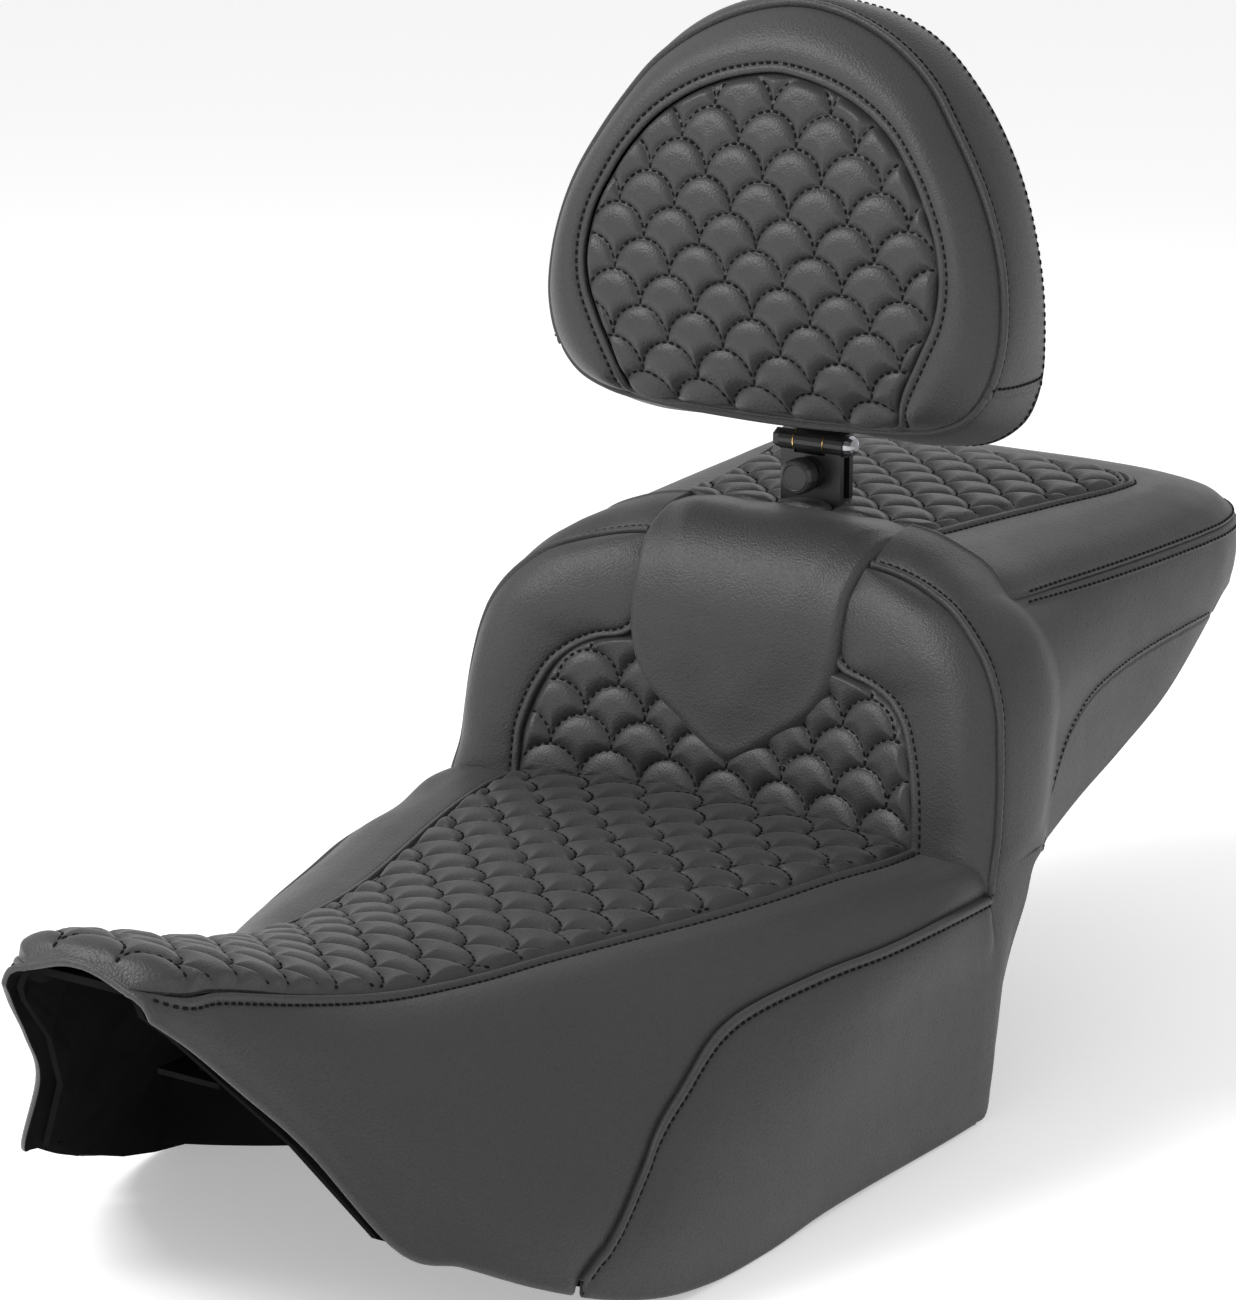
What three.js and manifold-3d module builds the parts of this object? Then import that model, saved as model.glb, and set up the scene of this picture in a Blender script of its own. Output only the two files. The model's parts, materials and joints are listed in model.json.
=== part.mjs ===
// Two-up motorcycle seat with a folding, height-adjustable rider backrest.
// Millimetres, +Z up, -Y towards the front of the motorcycle, +X towards the motorcycle's left side.
// The origin is the centre of the flat rest pad under the seat pan.
import * as THREE from "three";
import { mergeVertices } from "three/addons/utils/BufferGeometryUtils.js";
import Module from "manifold-3d";

// ---------- driving dimensions ----------
const ORIGIN_SHIFT = [0, 110, 52]; // from the seat/lumbar junction on the centre plane to the part's origin
const COVER = 2.4; // leather with scrim and thin foam backing
const GAP = 0.45; // space between a cover panel and its neighbour
const FOAM_SKIN = 3; // soft quilt backing between a cover panel and the foam core
const WALL = 14; // skirt wall: cover, foam and pan together
const PAN = 4; // moulded pan thickness
const DECK_Z = 92; // underside of the passenger deck
const HINGE = [0, 111.5, 206.5]; // hinge pin axis, along X
const BARREL_R = 7;
const PIN_R = 3;
const BLADE_W = 42;
const BLADE_T = 4;
const BLADE_Y = 109; // middle plane of the blade
const KNOB_Z = 188.5;
const KNOB_R = 11;
const STEM_R = 3.4;
const LEAF_Y0 = 119.1;
const LEAF_T = 4;

// Half sections of the rider part: y, then eight [x, z] points from the centre line over the shoulder to the bottom edge.
const RIDER = [
  [-558, [[0, 70], [33, 62], [38, 61], [42, 59], [45, 57], [47, 54], [48, 52], [49, 50]]],
  [-545, [[0, 74], [50, 58], [53, 54], [55, 50], [56.5, 46], [57.5, 42], [58, 39], [58.5, 36]]],
  [-519, [[0, 66], [52.5, 53], [57, 46], [61, 38], [65, 28], [68, 20], [70, 13], [72, 7]]],
  [-490, [[0, 57], [55, 44.5], [61, 36], [67, 26], [76, 6], [84, -12], [88, -22], [92, -31]]],
  [-467, [[0, 49], [56.5, 37], [64, 30], [73, 18], [88, -12], [101, -40], [112, -60], [125, -80]]],
  [-440, [[0, 41], [58, 29], [68, 22], [78, 12], [98, -20], [116, -52], [130, -77], [144, -93]]],
  [-400, [[0, 29], [61, 19], [72, 14], [84, 5], [108, -28], [134, -65], [150, -92], [162, -115]]],
  [-350, [[0, 20], [63, 10], [76, 7], [90, -1], [122, -36], [152, -78], [170, -110], [177, -136]]],
  [-318, [[0, 16], [66, 6.5], [80, 4], [95, -3], [130, -36], [162, -78], [178, -115], [182, -145]]],
  [-282, [[0, 12], [71, 4.5], [88, 3], [104, -2], [142, -32], [170, -72], [182, -112], [184, -151]]],
  [-223, [[0, 9], [84, 2.6], [107, 1], [125, -4], [158, -26], [178, -62], [186, -105], [185, -153]]],
  [-164, [[0, 9], [102, 2.7], [130, 0], [150, -6], [174, -24], [186, -60], [187, -105], [184, -151]]],
  [-120, [[0, 9], [115, 3.8], [145, 1], [165, -5], [184, -20], [189, -60], [187, -105], [184, -151]]],
  [-71, [[0, 8], [127, 5.5], [155, 2], [177, -6], [189, -16], [189, -60], [187, -110], [184, -152]]],
  [-31, [[0, 7], [136, 4.5], [165, 3], [185, -1], [191, -14], [190, -60], [188, -110], [185, -152]]],
  [-4, [[0, 6], [138, 4], [165, 3], [185, -1], [191, -13], [191, -60], [189, -110], [185, -152]]],
];
// Where the skirt seam crosses each half section, as an index along its eight points.
const SKIRT_SEAM = [[-379, 6.9], [-360, 6.2], [-337, 5.6], [-307, 4.95], [-265, 4.45], [-237, 4.15], [-197, 3.9], [-151, 3.75], [-101, 3.8], [-58, 3.85], [-20, 3.95], [14, 4]];
// Depth of the seat from the crown to the tunnel roof, by y.
const DEPTH = [[-558, 8], [-545, 13], [-519, 18], [-490, 24], [-440, 30], [-400, 36], [-350, 42], [-300, 48], [-4, 50]];
// Lumbar face on the centre plane, from the seat up and over to the passenger pad: [y, z].
const LUMBAR = [[15, 2.5], [17, 15], [18.5, 30], [22, 45], [25, 60], [27.5, 75], [29.5, 92], [31, 108], [34, 124], [39, 136], [47, 147], [58, 155], [74, 161], [88, 163]];
const TOP_Z = [[0, 163], [80, 163], [100, 158], [120, 150], [140, 141], [160, 128], [175, 112], [183, 98], [189, 84]];
const ROLL_Y = [[0, 0], [150, 0], [160, 2], [175, 8], [185, 18], [189, 26]];
// Inner border of each bolster: the quilted panel's arch, then the centre flap's edge.
const BOLSTER_IN = [[0, 138], [34, 136.5], [48, 133], [61, 128], [74, 120], [84, 108], [91, 93], [95, 77], [108, 75], [122, 75.5], [134, 76], [145, 77.5], [154, 79], [163, 79]];
// Centre flap half outline: [x, z] down to its tip.
const FLAP = [[77, 162.6], [77, 154], [75.5, 145], [74, 134], [73.5, 122], [73, 109], [72, 95], [68.5, 81], [60.5, 68.5], [50, 58.5], [37.5, 50], [23, 40], [0, 30]];
// Passenger pad half outline at its seam, then the half path of the side band under it.
const PASS_SEAM = [[149, 89], [155, 137], [161, 200], [166, 282], [165, 330], [158, 357], [140, 382], [112, 398], [70, 406], [0, 408]];
const PASS_QUILT = [[83, 99], [93, 150], [106, 210], [119, 270], [119, 288], [108, 302], [80, 309], [0, 311]];
const BAND = [ // x, y at the bulge, then top x, y, z and bottom z
  [191, 24, 186, 24, 92, -2], [189, 45, 178, 47, 113, -4], [185, 68, 165, 69, 126, -5], [182, 90, 151, 89, 134, -3],
  [177, 137, 157, 137, 134.5, 7], [173, 200, 163, 200, 134.5, 23], [172, 262, 166.5, 262, 134.5, 46], [171, 300, 167.5, 300, 134.5, 68], [168.5, 332, 166, 331, 134.5, 86],
  [160.5, 360, 158.5, 358, 134.5, 90], [141.5, 387, 140, 384, 134.5, 90], [113, 404, 112, 400, 134.5, 90], [70, 412.5, 70, 408.5, 134.5, 90], [0, 415, 0, 411, 134.5, 90],
];
// Backrest half outline at the front seam [x, z], from the top round to the bottom, and its quilted panel.
const PAD = [[0, 469], [25, 466], [45, 460], [70, 448], [94, 430], [112, 408], [128, 385], [141, 362], [150, 338], [155, 312], [155, 286], [147, 261], [133, 245], [112, 236], [84, 232], [40, 229], [0, 228]];
const PAD_QUILT = [[0, 432], [18, 430], [38, 425], [61, 415], [81, 401], [96, 384], [108, 365], [117, 346], [121.5, 325], [120, 303], [111, 281], [101, 260], [92, 238], [46, 234], [0, 233]];
const PAD_FRONT_Y = [[228, 57], [236, 54], [260, 47], [285, 45], [305, 46], [325, 48], [345, 50.5], [365, 54], [385, 58], [400, 62], [415, 66], [432, 70], [470, 82]];
const PAD_SEAM_Y = [[228, 62], [240, 57], [259, 55.5], [285, 56.5], [312, 59], [338, 62], [362, 65], [385, 69], [408, 73], [429, 78], [448, 83], [470, 89]];
const PAD_BACK_Y = 115.2;

// ---------- small numeric helpers ----------
const lerp = (a, b, t) => a + (b - a) * t;
function table(rows, x) {
  if (x <= rows[0][0]) return rows[0][1];
  for (let i = 1; i < rows.length; i++)
    if (x <= rows[i][0]) return lerp(rows[i - 1][1], rows[i][1], (x - rows[i - 1][0]) / (rows[i][0] - rows[i - 1][0]));
  return rows[rows.length - 1][1];
}
const span = (a, b, n) => Array.from({ length: n }, (_, i) => lerp(a, b, i / (n - 1)));
const sub = (a, b) => [a[0] - b[0], a[1] - b[1], a[2] - b[2]];
const cross = (a, b) => [a[1] * b[2] - a[2] * b[1], a[2] * b[0] - a[0] * b[2], a[0] * b[1] - a[1] * b[0]];
const unit = (a) => { const l = Math.hypot(...a) || 1; return [a[0] / l, a[1] / l, a[2] / l]; };

// ---------- geometry helpers ----------
const wasm = await Module();
wasm.setup();

function geometryOf(points, triangles) {
  let volume = 0;
  for (const [a, b, c] of triangles) {
    const p = points[a], q = points[b], r = points[c];
    volume += p[0] * (q[1] * r[2] - q[2] * r[1]) - p[1] * (q[0] * r[2] - q[2] * r[0]) + p[2] * (q[0] * r[1] - q[1] * r[0]);
  }
  const index = [];
  for (const [a, b, c] of triangles) volume < 0 ? index.push(a, c, b) : index.push(a, b, c);
  const g = new THREE.BufferGeometry();
  g.setAttribute("position", new THREE.Float32BufferAttribute(points.flat(), 3));
  g.setIndex(index);
  return g;
}
// A sheet with thickness: rows of outer points and rows of inner points, of equal length. Closed rows wrap round.
function sheet(outer, inner, { wrapRows = false } = {}) {
  const m = outer.length, n = outer[0].length, points = [], triangles = [];
  for (const r of outer) points.push(...r);
  for (const r of inner) points.push(...r);
  const o = (i, j) => (i % m) * n + j, q = (i, j) => m * n + (i % m) * n + j;
  const quad = (a, b, c, d) => triangles.push([a, b, c], [a, c, d]);
  const rows = wrapRows ? m : m - 1;
  for (let i = 0; i < rows; i++) {
    for (let j = 0; j < n - 1; j++) {
      quad(o(i, j), o(i + 1, j), o(i + 1, j + 1), o(i, j + 1));
      quad(q(i, j), q(i, j + 1), q(i + 1, j + 1), q(i + 1, j));
    }
    quad(o(i, 0), q(i, 0), q(i + 1, 0), o(i + 1, 0));
    quad(o(i, n - 1), o(i + 1, n - 1), q(i + 1, n - 1), q(i, n - 1));
  }
  if (!wrapRows)
    for (let j = 0; j < n - 1; j++) {
      quad(o(0, j), o(0, j + 1), q(0, j + 1), q(0, j));
      quad(o(m - 1, j), q(m - 1, j), q(m - 1, j + 1), o(m - 1, j + 1));
    }
  return geometryOf(points, triangles);
}
// A closed solid through closed rings of equal length, capped with a fan to each end ring's middle.
function rings(list) {
  const n = list[0].length, points = [], triangles = [];
  for (const r of list) points.push(...r);
  const at = (i, j) => i * n + (j % n);
  for (let i = 0; i < list.length - 1; i++)
    for (let j = 0; j < n; j++) triangles.push([at(i, j), at(i + 1, j), at(i + 1, j + 1)], [at(i, j), at(i + 1, j + 1), at(i, j + 1)]);
  const mid = (r) => [0, 1, 2].map((k) => r.reduce((s, p) => s + p[k], 0) / n);
  points.push(mid(list[0]), mid(list[list.length - 1]));
  const a = points.length - 2, b = points.length - 1, last = list.length - 1;
  for (let j = 0; j < n; j++) triangles.push([a, at(0, j), at(0, j + 1)], [b, at(last, j + 1), at(last, j)]);
  return geometryOf(points, triangles);
}
function solidOf(g) {
  const h = (g.index ? g.toNonIndexed() : g.clone());
  for (const k of Object.keys(h.attributes)) if (k !== "position") h.deleteAttribute(k);
  const m = mergeVertices(h, 1e-3);
  return new wasm.Manifold(new wasm.Mesh({ numProp: 3, vertProperties: m.attributes.position.array, triVerts: new Uint32Array(m.index.array) }));
}
function geometryFrom(solid) {
  const m = solid.getMesh(), n = m.numProp, v = new Float32Array(m.numVert * 3);
  for (let i = 0; i < m.numVert; i++) v.set(m.vertProperties.subarray(i * n, i * n + 3), i * 3);
  const g = new THREE.BufferGeometry();
  g.setAttribute("position", new THREE.BufferAttribute(v, 3));
  g.setIndex(new THREE.BufferAttribute(new Uint32Array(m.triVerts), 1));
  return g;
}
// The solid grown by about d along its vertex normals, for cutting a clearance into a neighbour.
function grown(g, d) {
  const h = g.index ? g.toNonIndexed() : g.clone();
  for (const k of Object.keys(h.attributes)) if (k !== "position") h.deleteAttribute(k);
  const m = mergeVertices(h, 1e-3);
  m.computeVertexNormals();
  const p = m.attributes.position, n = m.attributes.normal;
  for (let i = 0; i < p.count; i++) p.setXYZ(i, p.getX(i) + n.getX(i) * d, p.getY(i) + n.getY(i) * d, p.getZ(i) + n.getZ(i) * d);
  return m;
}
// A piece with clearance cut round its neighbours. Slivers that the cut leaves are dropped.
function clearOf(g, ...neighbours) {
  const s = neighbours.map((o) => solidOf(grown(o, 1.2))).reduce((a, b) => a.subtract(b), solidOf(g));
  const whole = s.decompose().sort((a, b) => b.volume() - a.volume())[0];
  return geometryFrom(whole);
}
// A disc with thickness: closed rings from the border inwards, outer and inner, closed at the middle by a fan.
function disc(outer, inner) {
  const m = outer.length, n = outer[0].length, points = [], triangles = [];
  for (const r of outer) points.push(...r);
  for (const r of inner) points.push(...r);
  const mid = (r) => [0, 1, 2].map((k) => r.reduce((t, p) => t + p[k], 0) / n);
  points.push(mid(outer[m - 1]), mid(inner[m - 1]));
  const o = (i, j) => i * n + (j % n), q = (i, j) => m * n + i * n + (j % n), a = 2 * m * n, b = a + 1;
  for (let j = 0; j < n; j++) {
    for (let i = 0; i < m - 1; i++)
      triangles.push([o(i, j), o(i, j + 1), o(i + 1, j + 1)], [o(i, j), o(i + 1, j + 1), o(i + 1, j)], [q(i, j), q(i + 1, j + 1), q(i, j + 1)], [q(i, j), q(i + 1, j), q(i + 1, j + 1)]);
    triangles.push([a, o(m - 1, j), o(m - 1, j + 1)], [b, q(m - 1, j + 1), q(m - 1, j)], [o(0, j), q(0, j), q(0, j + 1)], [o(0, j), q(0, j + 1), o(0, j + 1)]);
  }
  return geometryOf(points, triangles);
}
const join = (...gs) => geometryFrom(gs.map(solidOf).reduce((a, b) => a.add(b)));
const cut = (g, ...tools) => geometryFrom(tools.map(solidOf).reduce((a, b) => a.subtract(b), solidOf(g)));
function box(x0, x1, y0, y1, z0, z1) {
  return new THREE.BoxGeometry(x1 - x0, y1 - y0, z1 - z0).translate((x0 + x1) / 2, (y0 + y1) / 2, (z0 + z1) / 2);
}
// A plain round bar along x, y or z.
function bar(axis, r, from, to, a, b, segments = 20) {
  const g = new THREE.CylinderGeometry(r, r, to - from, segments);
  const c = (from + to) / 2;
  if (axis === "x") return g.rotateZ(-Math.PI / 2).translate(c, a, b);
  if (axis === "y") return g.translate(a, c, b);
  return g.rotateX(Math.PI / 2).translate(a, b, c);
}
// A turned piece: profile of [radius, height] on the axis at both ends, turned about y, x or z.
function turned(profile, axis, at, segments = 20) {
  const g = new THREE.LatheGeometry(profile.map(([r, h]) => new THREE.Vector2(r, h)), segments);
  if (axis === "x") g.rotateZ(-Math.PI / 2);
  if (axis === "z") g.rotateX(Math.PI / 2);
  return g.translate(...at);
}
function plate(points, axis, from, to, holes = []) {
  const s = new THREE.Shape(points.map(([a, b]) => new THREE.Vector2(a, b)));
  for (const [a, b, r] of holes) { const h = new THREE.Path(); h.absarc(a, b, r, 0, Math.PI * 2, true); s.holes.push(h); }
  const g = new THREE.ExtrudeGeometry(s, { depth: to - from, bevelEnabled: false, curveSegments: 10 });
  if (axis === "z") return g.translate(0, 0, from);
  return g.rotateX(Math.PI / 2).translate(0, to, 0); // drawn in x, z and thick along y
}
const mirrored = (half) => [...half.map(([x, ...r]) => [x, ...r]), ...half.slice(0, -1).reverse().map(([x, ...r]) => [-x, ...r])];

// ---------- materials ----------
const leather = (c) => new THREE.MeshStandardMaterial({ color: c, roughness: 0.55, metalness: 0 });
const SMOOTH = 0x47484a, QUILT = 0x3d3e40, SKIRT = 0x434446;
const foam = () => new THREE.MeshStandardMaterial({ color: 0x8d8f93, roughness: 0.95, metalness: 0 });
const blackSteel = () => new THREE.MeshStandardMaterial({ color: 0x151517, roughness: 0.4, metalness: 0.7 });
const plastic = () => new THREE.MeshStandardMaterial({ color: 0x101011, roughness: 0.7, metalness: 0 });
const brightSteel = () => new THREE.MeshStandardMaterial({ color: 0xc9cbce, roughness: 0.2, metalness: 1 });
const brass = () => new THREE.MeshStandardMaterial({ color: 0xb5893f, roughness: 0.3, metalness: 1 });
const rubber = () => new THREE.MeshStandardMaterial({ color: 0x1b1b1c, roughness: 0.9, metalness: 0 });

const seat = new THREE.Group();
seat.position.set(...ORIGIN_SHIFT);
const made = (name) => seat.getObjectByName(name).geometry;
function add(name, geometry, material) {
  const m = new THREE.Mesh(geometry, material);
  m.name = name;
  seat.add(m);
  return m;
}

// ---------- rider part ----------
// Point on the rider section surface: u runs over the eight half-section points and is negative on the right side.
function sectionAt(y) {
  let i = 1;
  while (i < RIDER.length - 1 && y > RIDER[i][0]) i++;
  const t = (y - RIDER[i - 1][0]) / (RIDER[i][0] - RIDER[i - 1][0]);
  return RIDER[i - 1][1].map((p, k) => [lerp(p[0], RIDER[i][1][k][0], t), lerp(p[1], RIDER[i][1][k][1], t)]);
}
function surface(u, y) {
  const s = sectionAt(y), a = Math.min(Math.abs(u), 6.9999), k = Math.floor(a), t = a - k;
  const x = lerp(s[k][0], s[k + 1][0], t), z = lerp(s[k][1], s[k + 1][1], t);
  return [u < 0 ? -x : x, y, z];
}
function normal(u, y) {
  const a = surface(Math.max(u - 0.3, -6.99), y), b = surface(Math.min(u + 0.3, 6.99), y);
  const c = surface(u, Math.max(y - 4, -558)), d = surface(u, Math.min(y + 4, 14));
  let n = unit(cross(sub(b, a), sub(d, c)));
  const s = surface(u, y);
  if (n[0] * s[0] + n[2] * 60 < 0) n = n.map((v) => -v);
  return n;
}
// Rear edge of the rider panels: it follows the lumbar's curve in plan.
const rearShift = (x, y) => (y > -31 ? (17 * Math.max(0, 1 - (x / 138) ** 2) * (y + 31)) / 27 : 0);
function riderSheet(stations, range, count, out, into) {
  const rowsOut = [], rowsIn = [];
  for (const y of stations) {
    const [u0, u1] = range(y), a = [], b = [];
    for (const u of span(u0, u1, count)) {
      const p = surface(u, y), n = normal(u, y), dy = rearShift(p[0], y);
      a.push([p[0] - n[0] * out, p[1] + dy, p[2] - n[2] * out]);
      b.push([p[0] - n[0] * into, p[1] + dy, p[2] - n[2] * into]);
    }
    rowsOut.push(a);
    rowsIn.push(b);
  }
  return sheet(rowsOut, rowsIn);
}
const FRONT = -557, BACK = -4.5;
const riderStations = [FRONT, -545, -519, -490, -467, -440, -400, -350, -318, -282, -223, -164, -120, -71, -31, BACK];
add("rider_quilt_panel", riderSheet(riderStations, () => [-1 + 0.01, 1 - 0.01], 5, 0, COVER), leather(QUILT));
for (const [name, s] of [["left", 1], ["right", -1]]) {
  add("side_panel_" + name, riderSheet(riderStations, (y) => [s * 1.04, s * (table(SKIRT_SEAM, y) - 0.02)], 6, 0, COVER), leather(SMOOTH));
  const back = riderSheet([-366, -350, -318, -282, -223, -164, -120, -71, -31, BACK], (y) => [s * (table(SKIRT_SEAM, y) + 0.05), s * 6.999], 5, 0, COVER);
  const side = (y) => [[191, -13], [191, -60], [189, -110], [185, -152]].map(([x, z]) => [s * x, y, z]);
  add("skirt_" + name, back, leather(SKIRT));
}
// Tunnel line under the rider: the outer line moved in by depth and wall.
function tunnel(y, extra) {
  const s = sectionAt(y), zr = s[0][1] - table(DEPTH, y) - extra, zb = s[7][1];
  const wall = (y < -540 ? 9 : WALL) + extra;
  const xAt = (z) => {
    for (let k = 1; k < 8; k++) if (z >= s[k][1]) return lerp(s[k - 1][0], s[k][0], (s[k - 1][1] - z) / Math.max(1e-6, s[k - 1][1] - s[k][1]));
    return s[7][0];
  };
  const down = [0.03, 0.12, 0.35, 0.68, 1].map((f) => { const z = lerp(zr, zb, f); return [Math.max(6, xAt(z) - wall), z]; });
  const x3 = down[0][0];
  return [[0, zr], [x3 * 0.5, zr], [x3 * 0.85, zr - 0.01 * (zr - zb)], ...down];
}
function foamSection(y, dy = 0) {
  const t = tunnel(y, 0), outer = [], inner = [];
  for (let k = -7; k <= 7; k++) {
    const p = surface(k, y), n = normal(k, y), d = COVER + FOAM_SKIN, q = t[Math.abs(k)];
    const sh = rearShift(p[0], y) * dy;
    outer.push([p[0] - n[0] * d, y + sh, p[2] - n[2] * d]);
    inner.push([Math.sign(k) * q[0], y + sh, q[1]]);
  }
  return [outer, inner];
}
{
  const parts = riderStations.slice(2).map((y) => foamSection(y));
  add("rider_foam", clearOf(sheet(parts.map((p) => p[0]), parts.map((p) => p[1])), made("skirt_left"), made("skirt_right")), foam());
}

// ---------- lumbar block ----------
let lumbarFoam;
const bolsters = {};
const lumbarAt = (x, i) => {
  const ax = Math.abs(x), c = LUMBAR[i], g = i < 9 ? 1 : lerp(1, 0.25, (i - 8) / 5);
  return [x, c[0] - 18 * (Math.min(ax, 186) / 138) ** 2 * g + table(ROLL_Y, ax), (c[1] * table(TOP_Z, ax)) / 163];
};
const lumbarNormal = (x, i) => {
  const a = lumbarAt(x - 2, i), b = lumbarAt(x + 2, i), c = lumbarAt(x, Math.max(0, i - 1)), d = lumbarAt(x, Math.min(13, i + 1));
  const n = unit(cross(sub(b, a), sub(d, c)));
  return n[1] > 0 ? n.map((v) => -v) : n;
};
const lumbarRow = (xs, i, depth, lift = 0) => xs.map((x) => { const p = lumbarAt(x, i), n = lumbarNormal(x, i); return [p[0] - n[0] * depth * 0, p[1] - n[1] * depth, p[2] - n[2] * depth + lift]; });
const zOf = (i) => LUMBAR[i][1];
{
  const rowsAll = [...LUMBAR.keys()];
  for (const [name, s] of [["left", 1], ["right", -1]]) {
    const xs = (i) => span(table(BOLSTER_IN, zOf(i)) + GAP, i >= 12 ? 145 : i === 11 ? 160 : 188, 6).map((x) => s * x);
    bolsters[name] = (sheet(rowsAll.map((i) => lumbarRow(xs(i), i, 0, i === 0 ? 3 : 0)), rowsAll.map((i) => lumbarRow(xs(i), i, COVER, i === 0 ? 3 : 0))));
  }
  const low = [0, 1, 2, 3, 4, 5, 6];
  const xs = (i) => span(-table(BOLSTER_IN, zOf(i)) + GAP, table(BOLSTER_IN, zOf(i)) - GAP, 9);
  add("lumbar_quilt_panel", sheet(low.map((i) => lumbarRow(xs(i), i, 0, i === 0 ? 3 : 0)), low.map((i) => lumbarRow(xs(i), i, COVER, i === 0 ? 3 : 0))), leather(QUILT));
  // Foam behind the face, square at the back.
  const cols = span(-160, 160, 11), back = 82;
  const list = cols.map((x) => {
    const face = rowsAll.map((i) => { const p = lumbarAt(x, i), n = lumbarNormal(x, i), d = COVER + FOAM_SKIN; return [x, Math.min(p[1] - n[1] * d, back - 1), Math.max(p[2] - n[2] * d, 9)]; });
    face[0][2] = 8.5;
    return [...face.filter((p, i) => i === 0 || i < 13), [x, back, face[12][2] - 0.5], [x, back, 8]];
  });
  lumbarFoam = rings(list);
}
// Centre flap: a padded shield over the middle of the lumbar face. It lies on the face and stands proud of it.
{
  const face = (x, z) => {
    let i = 1;
    while (i < 13 && z > LUMBAR[i][1]) i++;
    const t = Math.min(1, Math.max(0, (z - LUMBAR[i - 1][1]) / (LUMBAR[i][1] - LUMBAR[i - 1][1])));
    const g = i < 9 ? 1 : 0.6;
    return lerp(LUMBAR[i - 1][0], LUMBAR[i][0], t) - 18 * (x / 138) ** 2 * g;
  };
  const zs = [32, 42, 52, 62, 74, 86, 98, 110, 122, 134, 145, 153];
  const half = (z) => Math.max(3, table(FLAP.map(([x, zz]) => [zz, x]).reverse(), z) - 0.4);
  const rowsOut = [], rowsIn = [];
  for (const z of zs) {
    const h = half(z), a = [], b = [];
    for (const x of span(-h, h, 7)) {
      const y = face(x, z), bulge = 11 * (1 - (x / (h + 8)) ** 2) * Math.min(1, 0.35 + (z - 30) / 60);
      a.push([x, y - 2 - bulge, z]);
      b.push([x, y - 0.5, z]);
    }
    rowsOut.push(a);
    rowsIn.push(b);
  }
  // Over the top to the blade slot, resting on the foam.
  const over = [[52, 172.5, 157.8], [66, 175, 162.2], [80, 174, 164.6], [94, 170, 164.6]];
  for (const [y, top, under] of over) {
    const a = [], b = [];
    for (const x of span(-77.5, 77.5, 7)) { const f = (x / 86) ** 2; a.push([x, y - 3 * (1 - f) * 0, top - 7 * f]); b.push([x, y, under - 0]); }
    rowsOut.push(a);
    rowsIn.push(b);
  }
  rowsIn[rowsIn.length - 5] = rowsIn[rowsIn.length - 5].map((p) => [p[0], Math.min(p[1], 49), p[2]]);
  add("centre_flap", sheet(rowsOut, rowsIn), leather(SMOOTH));
}

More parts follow.
